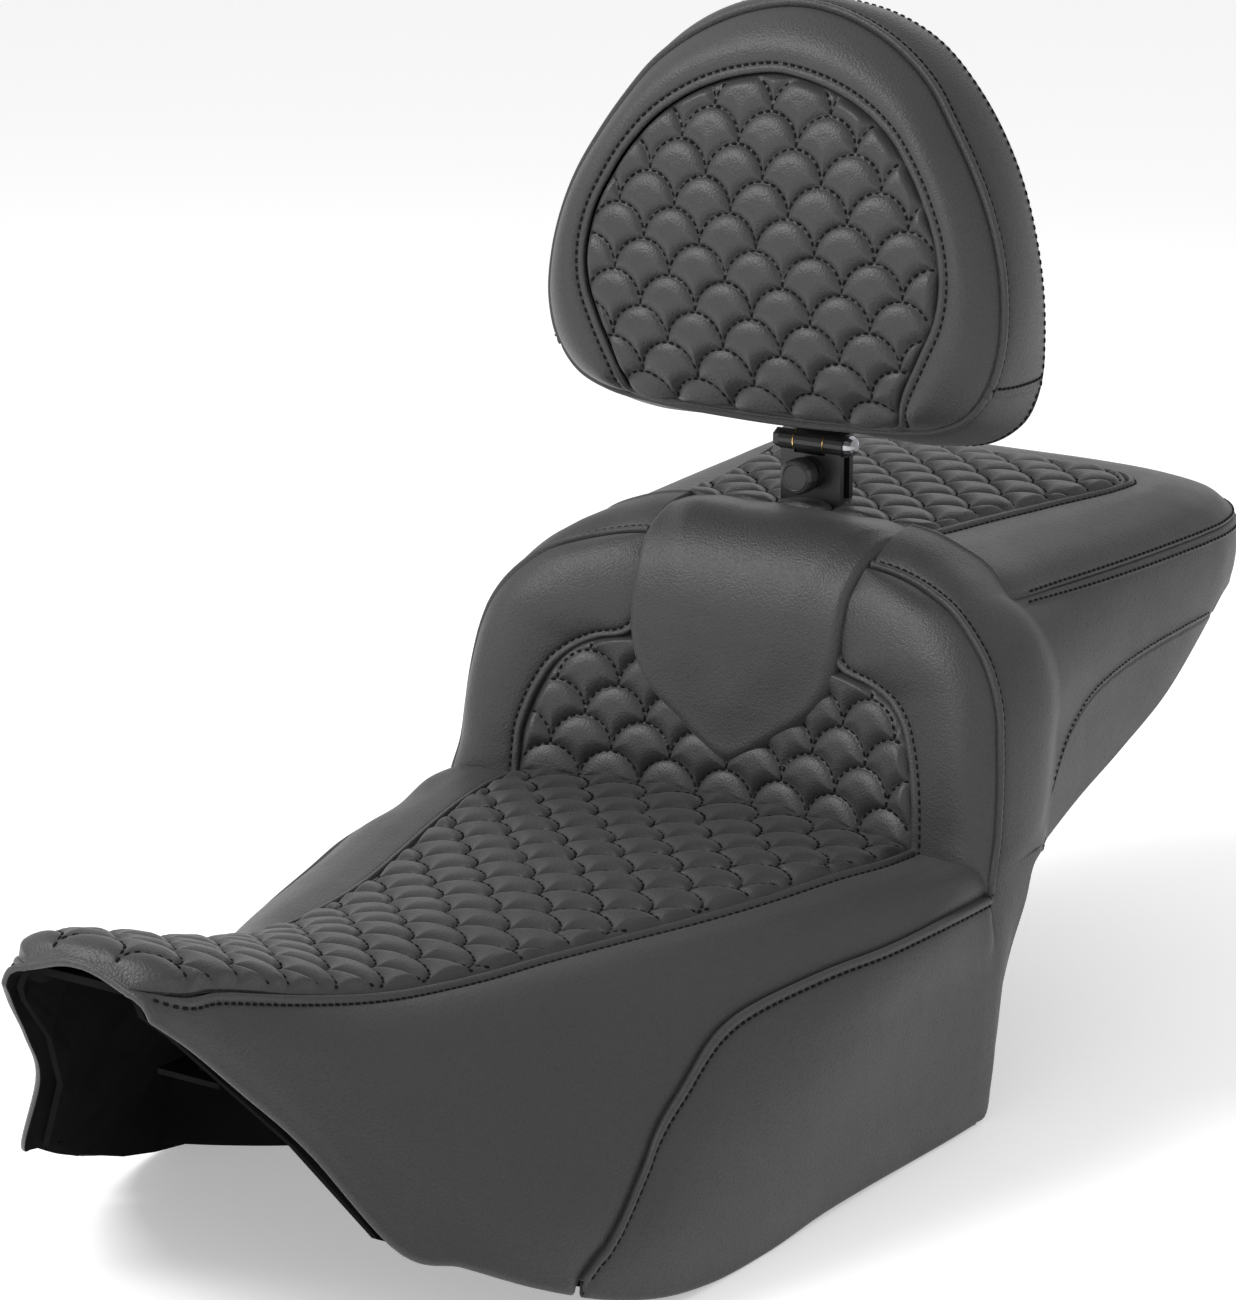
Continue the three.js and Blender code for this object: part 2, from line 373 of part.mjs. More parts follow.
// ---------- passenger part ----------
const outline = (half) => mirrored(half);
function resample(path, n) {
  const d = [0];
  for (let i = 1; i < path.length; i++) d.push(d[i - 1] + Math.hypot(path[i][0] - path[i - 1][0], path[i][1] - path[i - 1][1]));
  return span(0, d[d.length - 1], n).map((s) => {
    let i = 1;
    while (i < d.length - 1 && s > d[i]) i++;
    const t = (s - d[i - 1]) / (d[i] - d[i - 1]);
    return path[i].map((v, k) => lerp(path[i - 1][k], v, t));
  });
}
const offsetIn = (path, d, cy = 230) => path.map(([x, y]) => { const r = Math.hypot(x, (y - cy) * 0.9) || 1; return [x - (x / r) * d, y - (((y - cy) * 0.9) / r) * d]; });
{
  const n = 27, seam = resample(outline(PASS_SEAM), n), quilt = resample(outline(PASS_QUILT), n);
  // Foam: a block with a crowned top and a notch for the receiver at its front edge.
  const level = (f, z, y0 = 90.5) => seam.map(([x, y], i) => { const [qx, qy] = quilt[i]; return [lerp(qx, x, f), Math.max(y0, lerp(qy, y, f)), z]; });
  const inset = (d, z) => offsetIn(seam, d).map(([x, y]) => [x, Math.max(90.5, y), z]);
  const body = rings([inset(13, 97), inset(13, 118), level(0.9, 133), level(0.62, 146), level(0.32, 154), quilt.map(([x, y]) => [x * 0.99, Math.max(90.5, y), 159]), quilt.map(([x, y]) => [x * 0.5, lerp(200, y, 0.5), 163.4])]);
  add("passenger_foam", cut(body, box(-52, 52, 80, 136, 90, 180)), foam());
  // Top cover: the smooth border between the seam and the quilted panel.
  const lift = (p, dz) => p.map(([x, y, z]) => [x, y, z + dz]);
  const mk = (f, z) => seam.map(([x, y], i) => [lerp(quilt[i][0], x, f), Math.max(91, lerp(quilt[i][1], y, f)), z]);
  const so = [mk(1, 136.5), mk(0.62, 151.5), mk(0.3, 160), mk(0.02, 164)];
  const si = [mk(1, 134), mk(0.64, 148.6), mk(0.31, 157), mk(0.02, 161.4)];
  const turn = (rows) => rows[0].map((_, j) => rows.map((r) => r[j]));
  add("passenger_top_cover", sheet(turn(so), turn(si)), leather(SMOOTH));
  // Quilted panel, slotted at the front for the blade.
  const q = (f, z) => quilt.map(([x, y]) => [x * 0.985 * f, lerp(205, Math.min(y, 309), f), z]);
  const top = rings([q(1, 161.6), q(1, 164.2), q(0.5, 167.2), q(0.12, 168)]);
  const under = rings([q(1.05, 150), q(1.05, 161.5), q(0.5, 164.6), q(0.12, 165.3)]);
  add("passenger_quilt_panel", cut(top, under, box(-26, 26, 60, 124, 140, 190)), leather(QUILT));
  // Side band of the cover on each side, from the bolster round to the middle of the rear.
  for (const [name, s] of [["left", 1], ["right", -1]]) {
    const rowsOut = [], rowsIn = [];
    for (const [bx, by, tx, ty, tz, bz] of BAND) {
      const last = by === 415, ex = last ? s * 0.4 : 0, e = (x) => s * x + ex;
      const nx = last ? 0 : 1 - Math.min(1, Math.max(0, (by - 335) / 75)), ny = Math.sqrt(Math.max(0, 1 - nx * nx));
      const zt = tz - 1, mid = lerp(zt, bz, 0.3);
      const o = [[e(tx), ty, zt], [e(lerp(tx, bx, 0.75)), lerp(ty, by, 0.75), lerp(zt, mid, 0.5)], [e(bx), by, mid], [e(bx - 1.5 * nx), by - 1.5 * ny, lerp(mid, bz, 0.55)], [e(bx - 5 * nx), by - 5 * ny, bz]];
      rowsOut.push(o);
      rowsIn.push(o.map(([x, y, z]) => [x - s * nx * COVER, y - ny * COVER, z]));
    }
    add("passenger_side_cover_" + name, sheet(rowsOut, rowsIn), leather(SKIRT));
    add("bolster_cover_" + name, clearOf(bolsters[name], made("passenger_side_cover_" + name), made("centre_flap")), leather(SMOOTH));
  }
  add("lumbar_foam", clearOf(lumbarFoam, made("centre_flap")), foam());
}

// ---------- seat pan ----------
{
  const stations = riderStations.map((y) => Math.max(y, FRONT + 1));
  stations[stations.length - 1] = 0;
  const line = (y, extra) => { const t = tunnel(Math.min(y, -4), extra); const r = []; for (let k = -7; k <= 7; k++) r.push([Math.sign(k) * t[Math.abs(k)][0], y, t[Math.abs(k)][1]]); return r; };
  const arch = sheet(stations.map((y) => line(y, 0.4)), stations.map((y) => line(y, 0.4 + PAN)));
  const roof = tunnel(-4, 0.4)[0][1];
  const riser = box(-168, 168, -3.5, 0, roof - PAN, -0.6);
  const shelf = box(-170, 170, -3.5, 88, -4.6, -0.6);
  const wall = box(-150, 150, 84, 88, -4.6, DECK_Z + PAN);
  const deckLine = offsetIn(resample(outline(PASS_SEAM), 27), 12).map(([x, y], i, all) => [x, i === 0 || i === all.length - 1 ? 84 : Math.max(84, y)]);
  const deck = plate(deckLine, "z", DECK_Z, DECK_Z + PAN);
  // Side flanges that carry the side band.
  const flange = (s) => {
    const rowsOut = [], rowsIn = [];
    for (const [bx, by, , , , bz] of BAND.slice(3)) {
      const nx = 1 - Math.min(1, Math.max(0, (by - 335) / 75)), ny = Math.sqrt(Math.max(0, 1 - nx * nx));
      const X = (d) => s * Math.max(0, bx - d * nx - 5 * nx), Y = (d) => Math.max(84, by - d * ny - 5 * ny);
      rowsOut.push([[X(COVER + 0.6), Y(COVER + 0.6), DECK_Z + PAN], [X(COVER + 0.6), Y(COVER + 0.6), bz + 1]]);
      rowsIn.push([[X(18), Y(18), DECK_Z], [X(COVER + 0.6 + PAN), Y(COVER + 0.6 + PAN), bz + 1]]);
    }
    return sheet(rowsOut, rowsIn);
  };
  const pad = box(-30, 30, -135, -85, -52, roof + 0.5);
  let pan = [arch, riser, shelf, wall, deck, flange(1), flange(-1), pad].map(solidOf).reduce((a, b) => a.add(b));
  pan = pan.subtract(solidOf(box(-30, 30, 97, 121, 60, 130)));
  for (const x of [-38, 38]) pan = pan.subtract(solidOf(bar("z", 3.4, 80, 110, x, 124, 10)));
  add("seat_pan", clearOf(geometryFrom(pan), ...["rider_quilt_panel", "side_panel_left", "side_panel_right", "skirt_left", "skirt_right", "passenger_side_cover_left", "passenger_side_cover_right", "bolster_cover_left", "bolster_cover_right", "lumbar_quilt_panel"].map(made)), plastic());
}

// ---------- fittings on the pan ----------
{
  // Receiver: a rectangular steel tube hung through the deck, with a flange on top of it.
  const x = BLADE_W / 2 + 0.6, y = BLADE_T / 2 + 0.6, t = 2.5;
  const tube = cut(box(-x - t, x + t, BLADE_Y - y - t, BLADE_Y + y + t, 34, 146), box(-x, x, BLADE_Y - y, BLADE_Y + y, 30, 150));
  const flange = cut(box(-46, 46, 92.5, 130, DECK_Z + PAN + 0.4, DECK_Z + PAN + 3.4), box(-x, x, BLADE_Y - y, BLADE_Y + y, 90, 110), bar("z", 3.3, 80, 120, 38, 124, 16), bar("z", 3.3, 80, 120, -38, 124, 16));
  add("receiver_socket", join(tube, flange), blackSteel());
  for (const [name, s] of [["left", 1], ["right", -1]])
    add("receiver_screw_" + name, turned([[0, -2], [3, -2], [3, 3.1], [5.5, 3.1], [5.5, 5], [4, 6.4], [0, 6.6]], "z", [s * 38, 124, DECK_Z + PAN + 0.6], 12), brightSteel());
  // Front tongue under the nose and the tab at the rear.
  const noseRoof = tunnel(-392, 0.4 + PAN)[0][1] - 0.4;
  // The rivets sit in pockets, so that the faces that meet the frame stay flat.
  const pocket = (px, py, z) => bar("z", 4.6, z - 5, z, px, py, 12);
  add("front_tongue", cut(box(-20, 20, -478, -392, noseRoof - 3, noseRoof), bar("z", 4.2, noseRoof - 10, noseRoof + 5, 0, -464, 12), pocket(12, -402, noseRoof - 0.9), pocket(-12, -402, noseRoof - 0.9)), blackSteel());
  for (const [name, s] of [["left", 1], ["right", -1]])
    add("tongue_rivet_" + name, turned([[0, -1.6], [4, -1.1], [4, 0], [0, 0]], "z", [s * 12, -402, noseRoof - 1.3], 10), brightSteel());
  add("rear_tab", cut(box(-20, 20, 318, 372, DECK_Z - 3.4, DECK_Z - 0.4), bar("z", 4.4, 80, 100, 0, 330, 16), pocket(12, 362, DECK_Z - 1.3), pocket(-12, 362, DECK_Z - 1.3)), blackSteel());
  for (const [name, s] of [["left", 1], ["right", -1]])
    add("tab_rivet_" + name, turned([[0, -1.6], [4, -1.1], [4, 0], [0, 0]], "z", [s * 12, 362, DECK_Z - 1.7], 10), brightSteel());
  // Rubber feet on the tunnel roof, level with the rest pad, and under the deck.
  let k = 1;
  for (const [fx, fy] of [[60, -60], [-60, -60], [50, -215], [-50, -215], [90, 180], [-90, 180]]) {
    const z = fy < 0 ? tunnel(fy, 0.4 + PAN)[1][1] - 0.4 : DECK_Z - 0.4, h = fy < 0 ? z + 52 : 10;
    add("rubber_foot_" + k++, turned([[0, -h], [8, -h], [9.5, -h + 1.5], [11, 0], [0, 0]], "z", [fx, fy, z], 12), rubber());
  }
}

// ---------- backrest post ----------
{
  const [, hy, hz] = HINGE;
  const bladeHole = bar("y", STEM_R + 0.5, 90, 130, 0, KNOB_Z, 16);
  const blade = box(-BLADE_W / 2, BLADE_W / 2, BLADE_Y - BLADE_T / 2, BLADE_Y + BLADE_T / 2, 42, hz - 2);
  const knuckle = (a, b) => bar("x", BARREL_R, a, b, hy, hz, 18);
  const relief = bar("x", BARREL_R + 0.6, -11.9, 9.9, hy, hz, 18);
  const boss = bar("y", 10, BLADE_Y - BLADE_T / 2 - 5, BLADE_Y, 0, KNOB_Z, 18);
  let post = solidOf(blade).subtract(solidOf(relief)).subtract(solidOf(box(-11.9, 9.9, 100, 120, hz - 7, hz + 5)));
  post = post.add(solidOf(knuckle(-22, -12))).add(solidOf(knuckle(10, 23)));
  post = post.subtract(solidOf(bar("x", PIN_R + 0.3, -40, 40, hy, hz, 12))).add(solidOf(boss)).subtract(solidOf(bladeHole));
  add("post_blade", geometryFrom(post), blackSteel());
  add("hinge_pin", turned([[0, -27], [PIN_R, -27], [PIN_R, 23.4], [6.4, 23.4], [6.4, 25.4], [5.2, 28], [2.6, 29.3], [0, 29.3]], "x", [0, hy, hz], 14), brightSteel());
  add("hinge_nut", cut(new THREE.CylinderGeometry(6, 6, 4, 6).rotateZ(Math.PI / 2).translate(-24.5, hy, hz), bar("x", PIN_R + 0.3, -40, 0, hy, hz, 12)), blackSteel());
  const ring = (a, b) => cut(bar("x", BARREL_R + 0.3, a, b, hy, hz, 20), bar("x", PIN_R + 0.3, -40, 40, hy, hz, 12));
  add("hinge_washer_left", ring(9.15, 9.75), brass());
  add("hinge_washer_right", ring(-11.75, -11.15), brass());
  // Adjuster: the knob on its threaded stem, and the foot that carries the thrust.
  add("adjuster_stem", bar("y", STEM_R, 98, 115.3, 0, KNOB_Z, 16), brightSteel());
  const knob = solidOf(turned([[0, 89], [9.6, 89], [KNOB_R, 90.4], [KNOB_R, 97.6], [9.8, 98.6], [9.8, 100.6], [8, 101.4], [0, 101.4]], "y", [0, 0, KNOB_Z], 18));
  add("adjuster_knob", geometryFrom(knob.subtract(solidOf(bar("y", STEM_R + 0.3, 97.6, 110, 0, KNOB_Z, 16)))), plastic());
  add("adjuster_foot", turned([[0, 115.7], [4.4, 115.7], [5, 116.3], [5, 118.2], [4.4, 118.7], [0, 118.7]], "y", [0, 0, KNOB_Z], 14), plastic());
}

// ---------- backrest ----------
{
  const [, hy, hz] = HINGE;
  const leafLine = [[-20, 173], [-17, 170], [17, 170], [20, 173], [20, 318], [14, 324], [-14, 324], [-20, 318]];
  const leaf = solidOf(plate(leafLine, "y", LEAF_Y0, LEAF_Y0 + LEAF_T, [[12, 262, 2.8], [-12, 262, 2.8], [12, 306, 2.8], [-12, 306, 2.8]]));
  const knuckle = solidOf(bar("x", BARREL_R, -10.85, 8.85, hy, hz, 18)).add(solidOf(box(-10.85, 8.85, hy, LEAF_Y0 + 1, hz - 3, hz + 7)));
  add("hinge_leaf", geometryFrom(leaf.add(knuckle).subtract(solidOf(bar("x", PIN_R + 0.35, -40, 40, hy, hz, 12)))), blackSteel());
  let k = 1;
  for (const [x, z] of [[12, 262], [-12, 262], [12, 306], [-12, 306]])
    add("leaf_screw_" + k++, turned([[0, -8], [2.4, -8], [2.4, 0.4], [4.6, 0.4], [4.6, 1.6], [3, 2.8], [0, 3]], "y", [x, LEAF_Y0 + LEAF_T + 0.35, z], 10), brightSteel());

  const n = 30, loop = (half, m = n) => { const p = mirrored(half).slice(0, -1); const r = resample([...p, p[0]], m + 1); return r.slice(0, m); };
  const pad = loop(PAD), quilt = loop(PAD_QUILT), cz = 335;
  const shrink = (p, d) => p.map(([x, z]) => { const r = Math.hypot(x, z - cz); return [x * (1 - d / r), cz + (z - cz) * (1 - d / r)]; });
  const ringY = (p, y) => p.map(([x, z]) => [x, typeof y === "function" ? y(z) : y, z]);
  const front = (d) => (z) => table(PAD_FRONT_Y, z) + d, seamY = (d) => (z) => table(PAD_SEAM_Y, z) + d;
  const turn = (rows) => rows[0].map((_, j) => rows.map((r) => r[j]));
  // Quilted panel and the smooth ring round it.
  add("backrest_quilt_panel", disc([0.5, 30, 62].map((d, k) => ringY(shrink(quilt, d), front(-1.5 * k))), [0.5, 30, 62].map((d, k) => ringY(shrink(quilt, d), front(2.4 - 1.5 * k)))), leather(QUILT));
  const mix = (a, b, t) => a.map((p, i) => [lerp(p[0], b[i][0], t), lerp(p[1], b[i][1], t)]);
  const faceOut = [ringY(quilt, front(0)), ringY(mix(quilt, pad, 0.5), (z) => Math.min(table(PAD_FRONT_Y, z), table(PAD_SEAM_Y, z)) + 1.5), ringY(shrink(pad, 0.4), seamY(0))];
  const faceIn = [ringY(quilt, front(2.4)), ringY(mix(quilt, pad, 0.48), (z) => Math.min(table(PAD_FRONT_Y, z), table(PAD_SEAM_Y, z)) + 4), ringY(shrink(pad, 2.6), seamY(2.4))];
  add("backrest_face_cover", sheet(turn(faceOut), turn(faceIn), { wrapRows: true }), leather(SMOOTH));
  // Boxing: upper and lower pieces, and the rear cover.
  const rowsO = turn([ringY(shrink(pad, 0.4), seamY(3.2)), ringY(shrink(pad, -3.2), (z) => lerp(table(PAD_SEAM_Y, z), PAD_BACK_Y, 0.35)), ringY(shrink(pad, -3.2), (z) => lerp(table(PAD_SEAM_Y, z), PAD_BACK_Y, 0.7)), ringY(shrink(pad, 2), PAD_BACK_Y - 1)]);
  const rowsI = turn([ringY(shrink(pad, 2.8), seamY(3.2)), ringY(shrink(pad, -0.8), (z) => lerp(table(PAD_SEAM_Y, z), PAD_BACK_Y, 0.35)), ringY(shrink(pad, -0.8), (z) => lerp(table(PAD_SEAM_Y, z), PAD_BACK_Y, 0.7)), ringY(shrink(pad, 4.4), PAD_BACK_Y - 1)]);
  const lowIndex = [...pad.keys()].filter((i) => pad[i][1] < 262), lo = Math.min(...lowIndex), hi = Math.max(...lowIndex);
  const takeLow = (r) => r.slice(lo, hi + 1), takeUp = (r) => [...r.slice(hi), ...r.slice(0, lo + 1)];
  const pull = (rows, e) => rows.map((r, i) => (i === 0 || i === rows.length - 1 ? r.map((p, j) => p.map((v, c) => lerp(v, rows[i === 0 ? 1 : rows.length - 2][j][c], e))) : r));
  add("backrest_boxing_upper", sheet(takeUp(rowsO), takeUp(rowsI)), leather(SMOOTH));
  add("backrest_boxing_lower", sheet(pull(takeLow(rowsO), 0.03), pull(takeLow(rowsI), 0.03)), leather(SMOOTH));
  const rear = rings([ringY(shrink(pad, 2), PAD_BACK_Y - 0.4), ringY(shrink(pad, 3), PAD_BACK_Y + 1.6), ringY(shrink(pad, 16), PAD_BACK_Y + 3.2)]);
  add("backrest_rear_cover", cut(rear, ...[[12, 262], [-12, 262], [12, 306], [-12, 306]].map(([x, z]) => bar("y", 2.9, 100, 130, x, z, 12))), leather(SMOOTH));
  add("backrest_board", cut(rings([ringY(shrink(pad, 9), 106), ringY(shrink(pad, 9), 114)]), ...[[12, 262], [-12, 262], [12, 306], [-12, 306]].map(([x, z]) => bar("y", 2.9, 100, 130, x, z, 12))), plastic());
  const core = rings([ringY(shrink(quilt, 62), front(3)), ringY(shrink(quilt, 30), front(4.4)), ringY(shrink(quilt, 4), front(5.4)), ringY(shrink(mix(quilt, pad, 0.5), 6), (z) => Math.min(table(PAD_FRONT_Y, z), table(PAD_SEAM_Y, z)) + 8), ringY(shrink(pad, 8), seamY(8)), ringY(shrink(pad, 6), (z) => lerp(table(PAD_SEAM_Y, z), 105, 0.5)), ringY(shrink(pad, 6), 105.5)]);
  add("backrest_foam", core, foam());
}

export default seat;
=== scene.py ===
# Motorcycle seat with folding rider backrest: the visible model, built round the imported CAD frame.
# Tables are in millimetres from the seat/lumbar junction; SHIFT takes them to the frame's origin.
import json
import math
import bpy
import numpy as np
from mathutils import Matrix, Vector
from mathutils.bvhtree import BVHTree


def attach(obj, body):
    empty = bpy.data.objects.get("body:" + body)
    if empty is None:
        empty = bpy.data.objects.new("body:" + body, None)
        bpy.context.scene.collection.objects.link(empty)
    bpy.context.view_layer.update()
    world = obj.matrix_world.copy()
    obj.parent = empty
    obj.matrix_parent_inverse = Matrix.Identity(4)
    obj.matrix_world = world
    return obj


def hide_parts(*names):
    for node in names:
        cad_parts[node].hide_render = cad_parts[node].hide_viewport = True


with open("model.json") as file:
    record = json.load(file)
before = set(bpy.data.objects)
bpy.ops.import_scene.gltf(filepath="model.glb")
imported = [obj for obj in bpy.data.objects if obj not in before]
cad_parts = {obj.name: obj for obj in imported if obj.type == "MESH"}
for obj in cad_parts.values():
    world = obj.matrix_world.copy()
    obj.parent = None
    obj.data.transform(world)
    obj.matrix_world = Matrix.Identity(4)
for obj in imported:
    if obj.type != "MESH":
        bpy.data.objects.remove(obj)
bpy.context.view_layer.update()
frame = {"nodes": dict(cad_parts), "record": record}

SHIFT = np.array([0.0, 110.0, 52.0])

# ------------------------------------------------------------------ shape tables
RIDER = [
  (-558, [[0, 70], [33, 62], [38, 61], [42, 59], [45, 57], [47, 54], [48, 52], [49, 50]]),
  (-545, [[0, 74], [50, 58], [53, 54], [55, 50], [56.5, 46], [57.5, 42], [58, 39], [58.5, 36]]),
  (-519, [[0, 66], [52.5, 53], [57, 46], [61, 38], [65, 28], [68, 20], [70, 13], [72, 7]]),
  (-490, [[0, 57], [55, 44.5], [61, 36], [67, 26], [76, 6], [84, -12], [88, -22], [92, -31]]),
  (-467, [[0, 49], [56.5, 37], [64, 30], [73, 18], [88, -12], [101, -40], [112, -60], [125, -80]]),
  (-440, [[0, 41], [58, 29], [68, 22], [78, 12], [98, -20], [116, -52], [130, -77], [144, -93]]),
  (-400, [[0, 29], [61, 19], [72, 14], [84, 5], [108, -28], [134, -65], [150, -92], [162, -115]]),
  (-350, [[0, 20], [63, 10], [76, 7], [90, -1], [122, -36], [152, -78], [170, -110], [177, -136]]),
  (-318, [[0, 16], [66, 6.5], [80, 4], [95, -3], [130, -36], [162, -78], [178, -115], [182, -145]]),
  (-282, [[0, 12], [71, 4.5], [88, 3], [104, -2], [142, -32], [170, -72], [182, -112], [184, -151]]),
  (-223, [[0, 9], [84, 2.6], [107, 1], [125, -4], [158, -26], [178, -62], [186, -105], [185, -153]]),
  (-164, [[0, 9], [102, 2.7], [130, 0], [150, -6], [174, -24], [186, -60], [187, -105], [184, -151]]),
  (-120, [[0, 9], [115, 3.8], [145, 1], [165, -5], [184, -20], [189, -60], [187, -105], [184, -151]]),
  (-71, [[0, 8], [127, 5.5], [155, 2], [177, -6], [189, -16], [189, -60], [187, -110], [184, -152]]),
  (-31, [[0, 7], [136, 4.5], [165, 3], [185, -1], [191, -14], [190, -60], [188, -110], [185, -152]]),
  (-4, [[0, 6], [138, 4], [165, 3], [185, -1], [191, -13], [191, -60], [189, -110], [185, -152]]),
]
SKIRT_SEAM = [[-379, 6.9], [-360, 6.2], [-337, 5.6], [-307, 4.95], [-265, 4.45], [-237, 4.15], [-197, 3.9], [-151, 3.75], [-101, 3.8], [-58, 3.85], [-20, 3.95], [14, 4]]
PASS_SEAM = [[149, 89], [155, 137], [161, 200], [166, 282], [165, 330], [158, 357], [140, 382], [112, 398], [70, 406], [0, 408]]
PASS_QUILT = [[83, 99], [93, 150], [106, 210], [119, 270], [119, 288], [108, 302], [80, 309], [0, 311]]
BAND = [
  [182, 90, 151, 89, 135, -5], [177, 137, 157, 137, 134.5, 7], [173, 200, 163, 200, 134.5, 23], [172, 262, 166.5, 262, 134.5, 46], [171, 300, 167.5, 300, 134.5, 68], [168.5, 332, 166, 331, 134.5, 86],
  [160.5, 360, 158.5, 358, 134.5, 90], [141.5, 387, 140, 384, 134.5, 90], [113, 404, 112, 400, 134.5, 90], [70, 412.5, 70, 408.5, 134.5, 90], [0, 415, 0, 411, 134.5, 90],
]
BAND_SEAM = [[84, 10], [92, 30], [108, 51], [143, 73], [180, 77.5], [216, 80], [280, 80.5], [337, 79.5]]
PAD = [[0, 469], [25, 466], [45, 460], [70, 448], [94, 430], [112, 408], [128, 385], [141, 362], [150, 338], [155, 312], [155, 286], [147, 261], [133, 245], [112, 236], [84, 232], [40, 229], [0, 228]]
PAD_QUILT = [[0, 432], [18, 430], [38, 425], [61, 415], [81, 401], [96, 384], [108, 365], [117, 346], [121.5, 325], [120, 303], [111, 281], [101, 260], [92, 238], [46, 234], [0, 233]]
PAD_FRONT_Y = [[228, 57], [236, 54], [260, 47], [285, 45], [305, 46], [325, 48], [345, 50.5], [365, 54], [385, 58], [400, 62], [415, 66], [432, 70], [470, 82]]
PAD_SEAM_Y = [[228, 62], [240, 57], [259, 55.5], [285, 56.5], [312, 59], [338, 62], [362, 65], [385, 69], [408, 73], [429, 78], [448, 83], [470, 89]]
PAD_BACK_Y = 115.2
FLAP = [[0, 30], [23, 40], [37.5, 50], [50, 58.5], [60.5, 68.5], [68.5, 81], [72.5, 95], [74, 109], [74.5, 122], [75, 134], [76.5, 145], [78, 154]]
LUMBAR = [[15, 2.5], [17, 15], [18.5, 30], [22, 45], [25, 60], [27.5, 75], [29.5, 92], [31, 108], [34, 124], [39, 136], [47, 147], [58, 155], [74, 161], [88, 163], [106, 163.5]]

# ------------------------------------------------------------------ numbers
def unit(a):
    a = np.asarray(a, float)
    l = np.linalg.norm(a, axis=-1, keepdims=True)
    return a / np.maximum(l, 1e-9)

def hermite(ts, P, x):
    """Smooth curve through P at ts, evaluated at x."""
    ts, P, x = np.asarray(ts, float), np.asarray(P, float), np.atleast_1d(np.asarray(x, float))
    flat = P.ndim == 1
    if flat: P = P[:, None]
    h = np.maximum(np.diff(ts), 1e-9); d = np.diff(P, axis=0) / h[:, None]
    m = np.empty_like(P)
    if len(P) == 2: m[:] = d[0]
    else:
        m[1:-1] = (d[:-1] * h[1:, None] + d[1:] * h[:-1, None]) / (h[1:] + h[:-1])[:, None]
        m[0] = 1.5 * d[0] - 0.5 * m[1]; m[-1] = 1.5 * d[-1] - 0.5 * m[-2]
    i = np.clip(np.searchsorted(ts, x, side="right") - 1, 0, len(h) - 1)
    t = np.clip((x - ts[i]) / h[i], 0, 1)[:, None]; hh = h[i][:, None]
    r = (2 * t**3 - 3 * t**2 + 1) * P[i] + (t**3 - 2 * t**2 + t) * hh * m[i] + (3 * t**2 - 2 * t**3) * P[i + 1] + (t**3 - t**2) * hh * m[i + 1]
    return r[:, 0] if flat else r

def table(rows, x, smooth=True):
    r = np.asarray(rows, float)
    x = np.atleast_1d(np.asarray(x, float))
    return hermite(r[:, 0], r[:, 1], np.clip(x, r[0, 0], r[-1, 0])) if smooth else np.interp(x, r[:, 0], r[:, 1])

def arc(P):
    return np.concatenate([[0], np.cumsum(np.linalg.norm(np.diff(np.asarray(P, float), axis=0), axis=1))])

def spline(P, n, closed=False):
    """n points evenly spaced by length on the smooth curve through P."""
    P = np.asarray(P, float)
    if closed:
        Q = np.vstack([P[-3:], P, P[:3]]); s = arc(Q); a, b = s[3], s[3 + len(P)]
        s0 = np.linspace(a, b, max(800, n * 4) + 1); C = hermite(s, Q, s0)
    else:
        s = arc(P); C = hermite(s, P, np.linspace(0, s[-1], max(800, n * 4) + 1))
    l = arc(C); want = np.linspace(0, l[-1], n + 1 if closed else n)
    R = np.stack([np.interp(want, l, C[:, k]) for k in range(C.shape[1])], 1)
    return R[:-1] if closed else R

def resample(G, lo=(), hi=(), mid=20):
    """Rows of points resampled by length: fixed distances from each end, then even between. Returns points and the distance from each end."""
    out, dl, dh = [], [], []
    lo, hi = np.asarray(lo, float), np.asarray(hi, float)
    for row in G:
        s = arc(row); L = s[-1]
        k = min(1.0, 0.9 * L / max(1e-6, (lo[-1] if len(lo) else 0) + (hi[-1] if len(hi) else 0)))
        a, b = lo * k, L - hi[::-1] * k
        m0, m1 = (a[-1] if len(a) else 0.0), (b[0] if len(b) else L)
        m = np.linspace(m0, m1, mid + 2)
        m = m[(1 if len(a) else 0):(mid + 1 if len(b) else mid + 2)]
        t = np.concatenate([a, m, b])
        out.append(np.stack([np.interp(t, s, row[:, c]) for c in range(3)], 1)); dl.append(t); dh.append(L - t)
    return np.array(out), np.array(dl), np.array(dh)

def normals(P, out, wrap=False):
    """Unit normals of a grid of points, pointing away from the point out (or along it, if it is a direction given as a tuple of 4)."""
    a = np.gradient(P, axis=0)
    b = (np.roll(P, -1, 1) - np.roll(P, 1, 1)) / 2 if wrap else np.gradient(P, axis=1)
    n = np.cross(a, b)
    l = np.linalg.norm(n, axis=-1, keepdims=True)
    n = n / np.maximum(l, 1e-12)
    ref = np.broadcast_to(np.array(out[:3], float), P.shape) if len(out) == 4 else P - np.array(out, float)
    if (n * ref).sum(-1).mean() < 0: n = -n
    bad = l[..., 0] < 1e-7
    if bad.any(): n[bad] = unit(ref[bad])
    return n

def smoothstep(x, a, b):
    t = np.clip((x - a) / (b - a), 0, 1); return t * t * (3 - 2 * t)

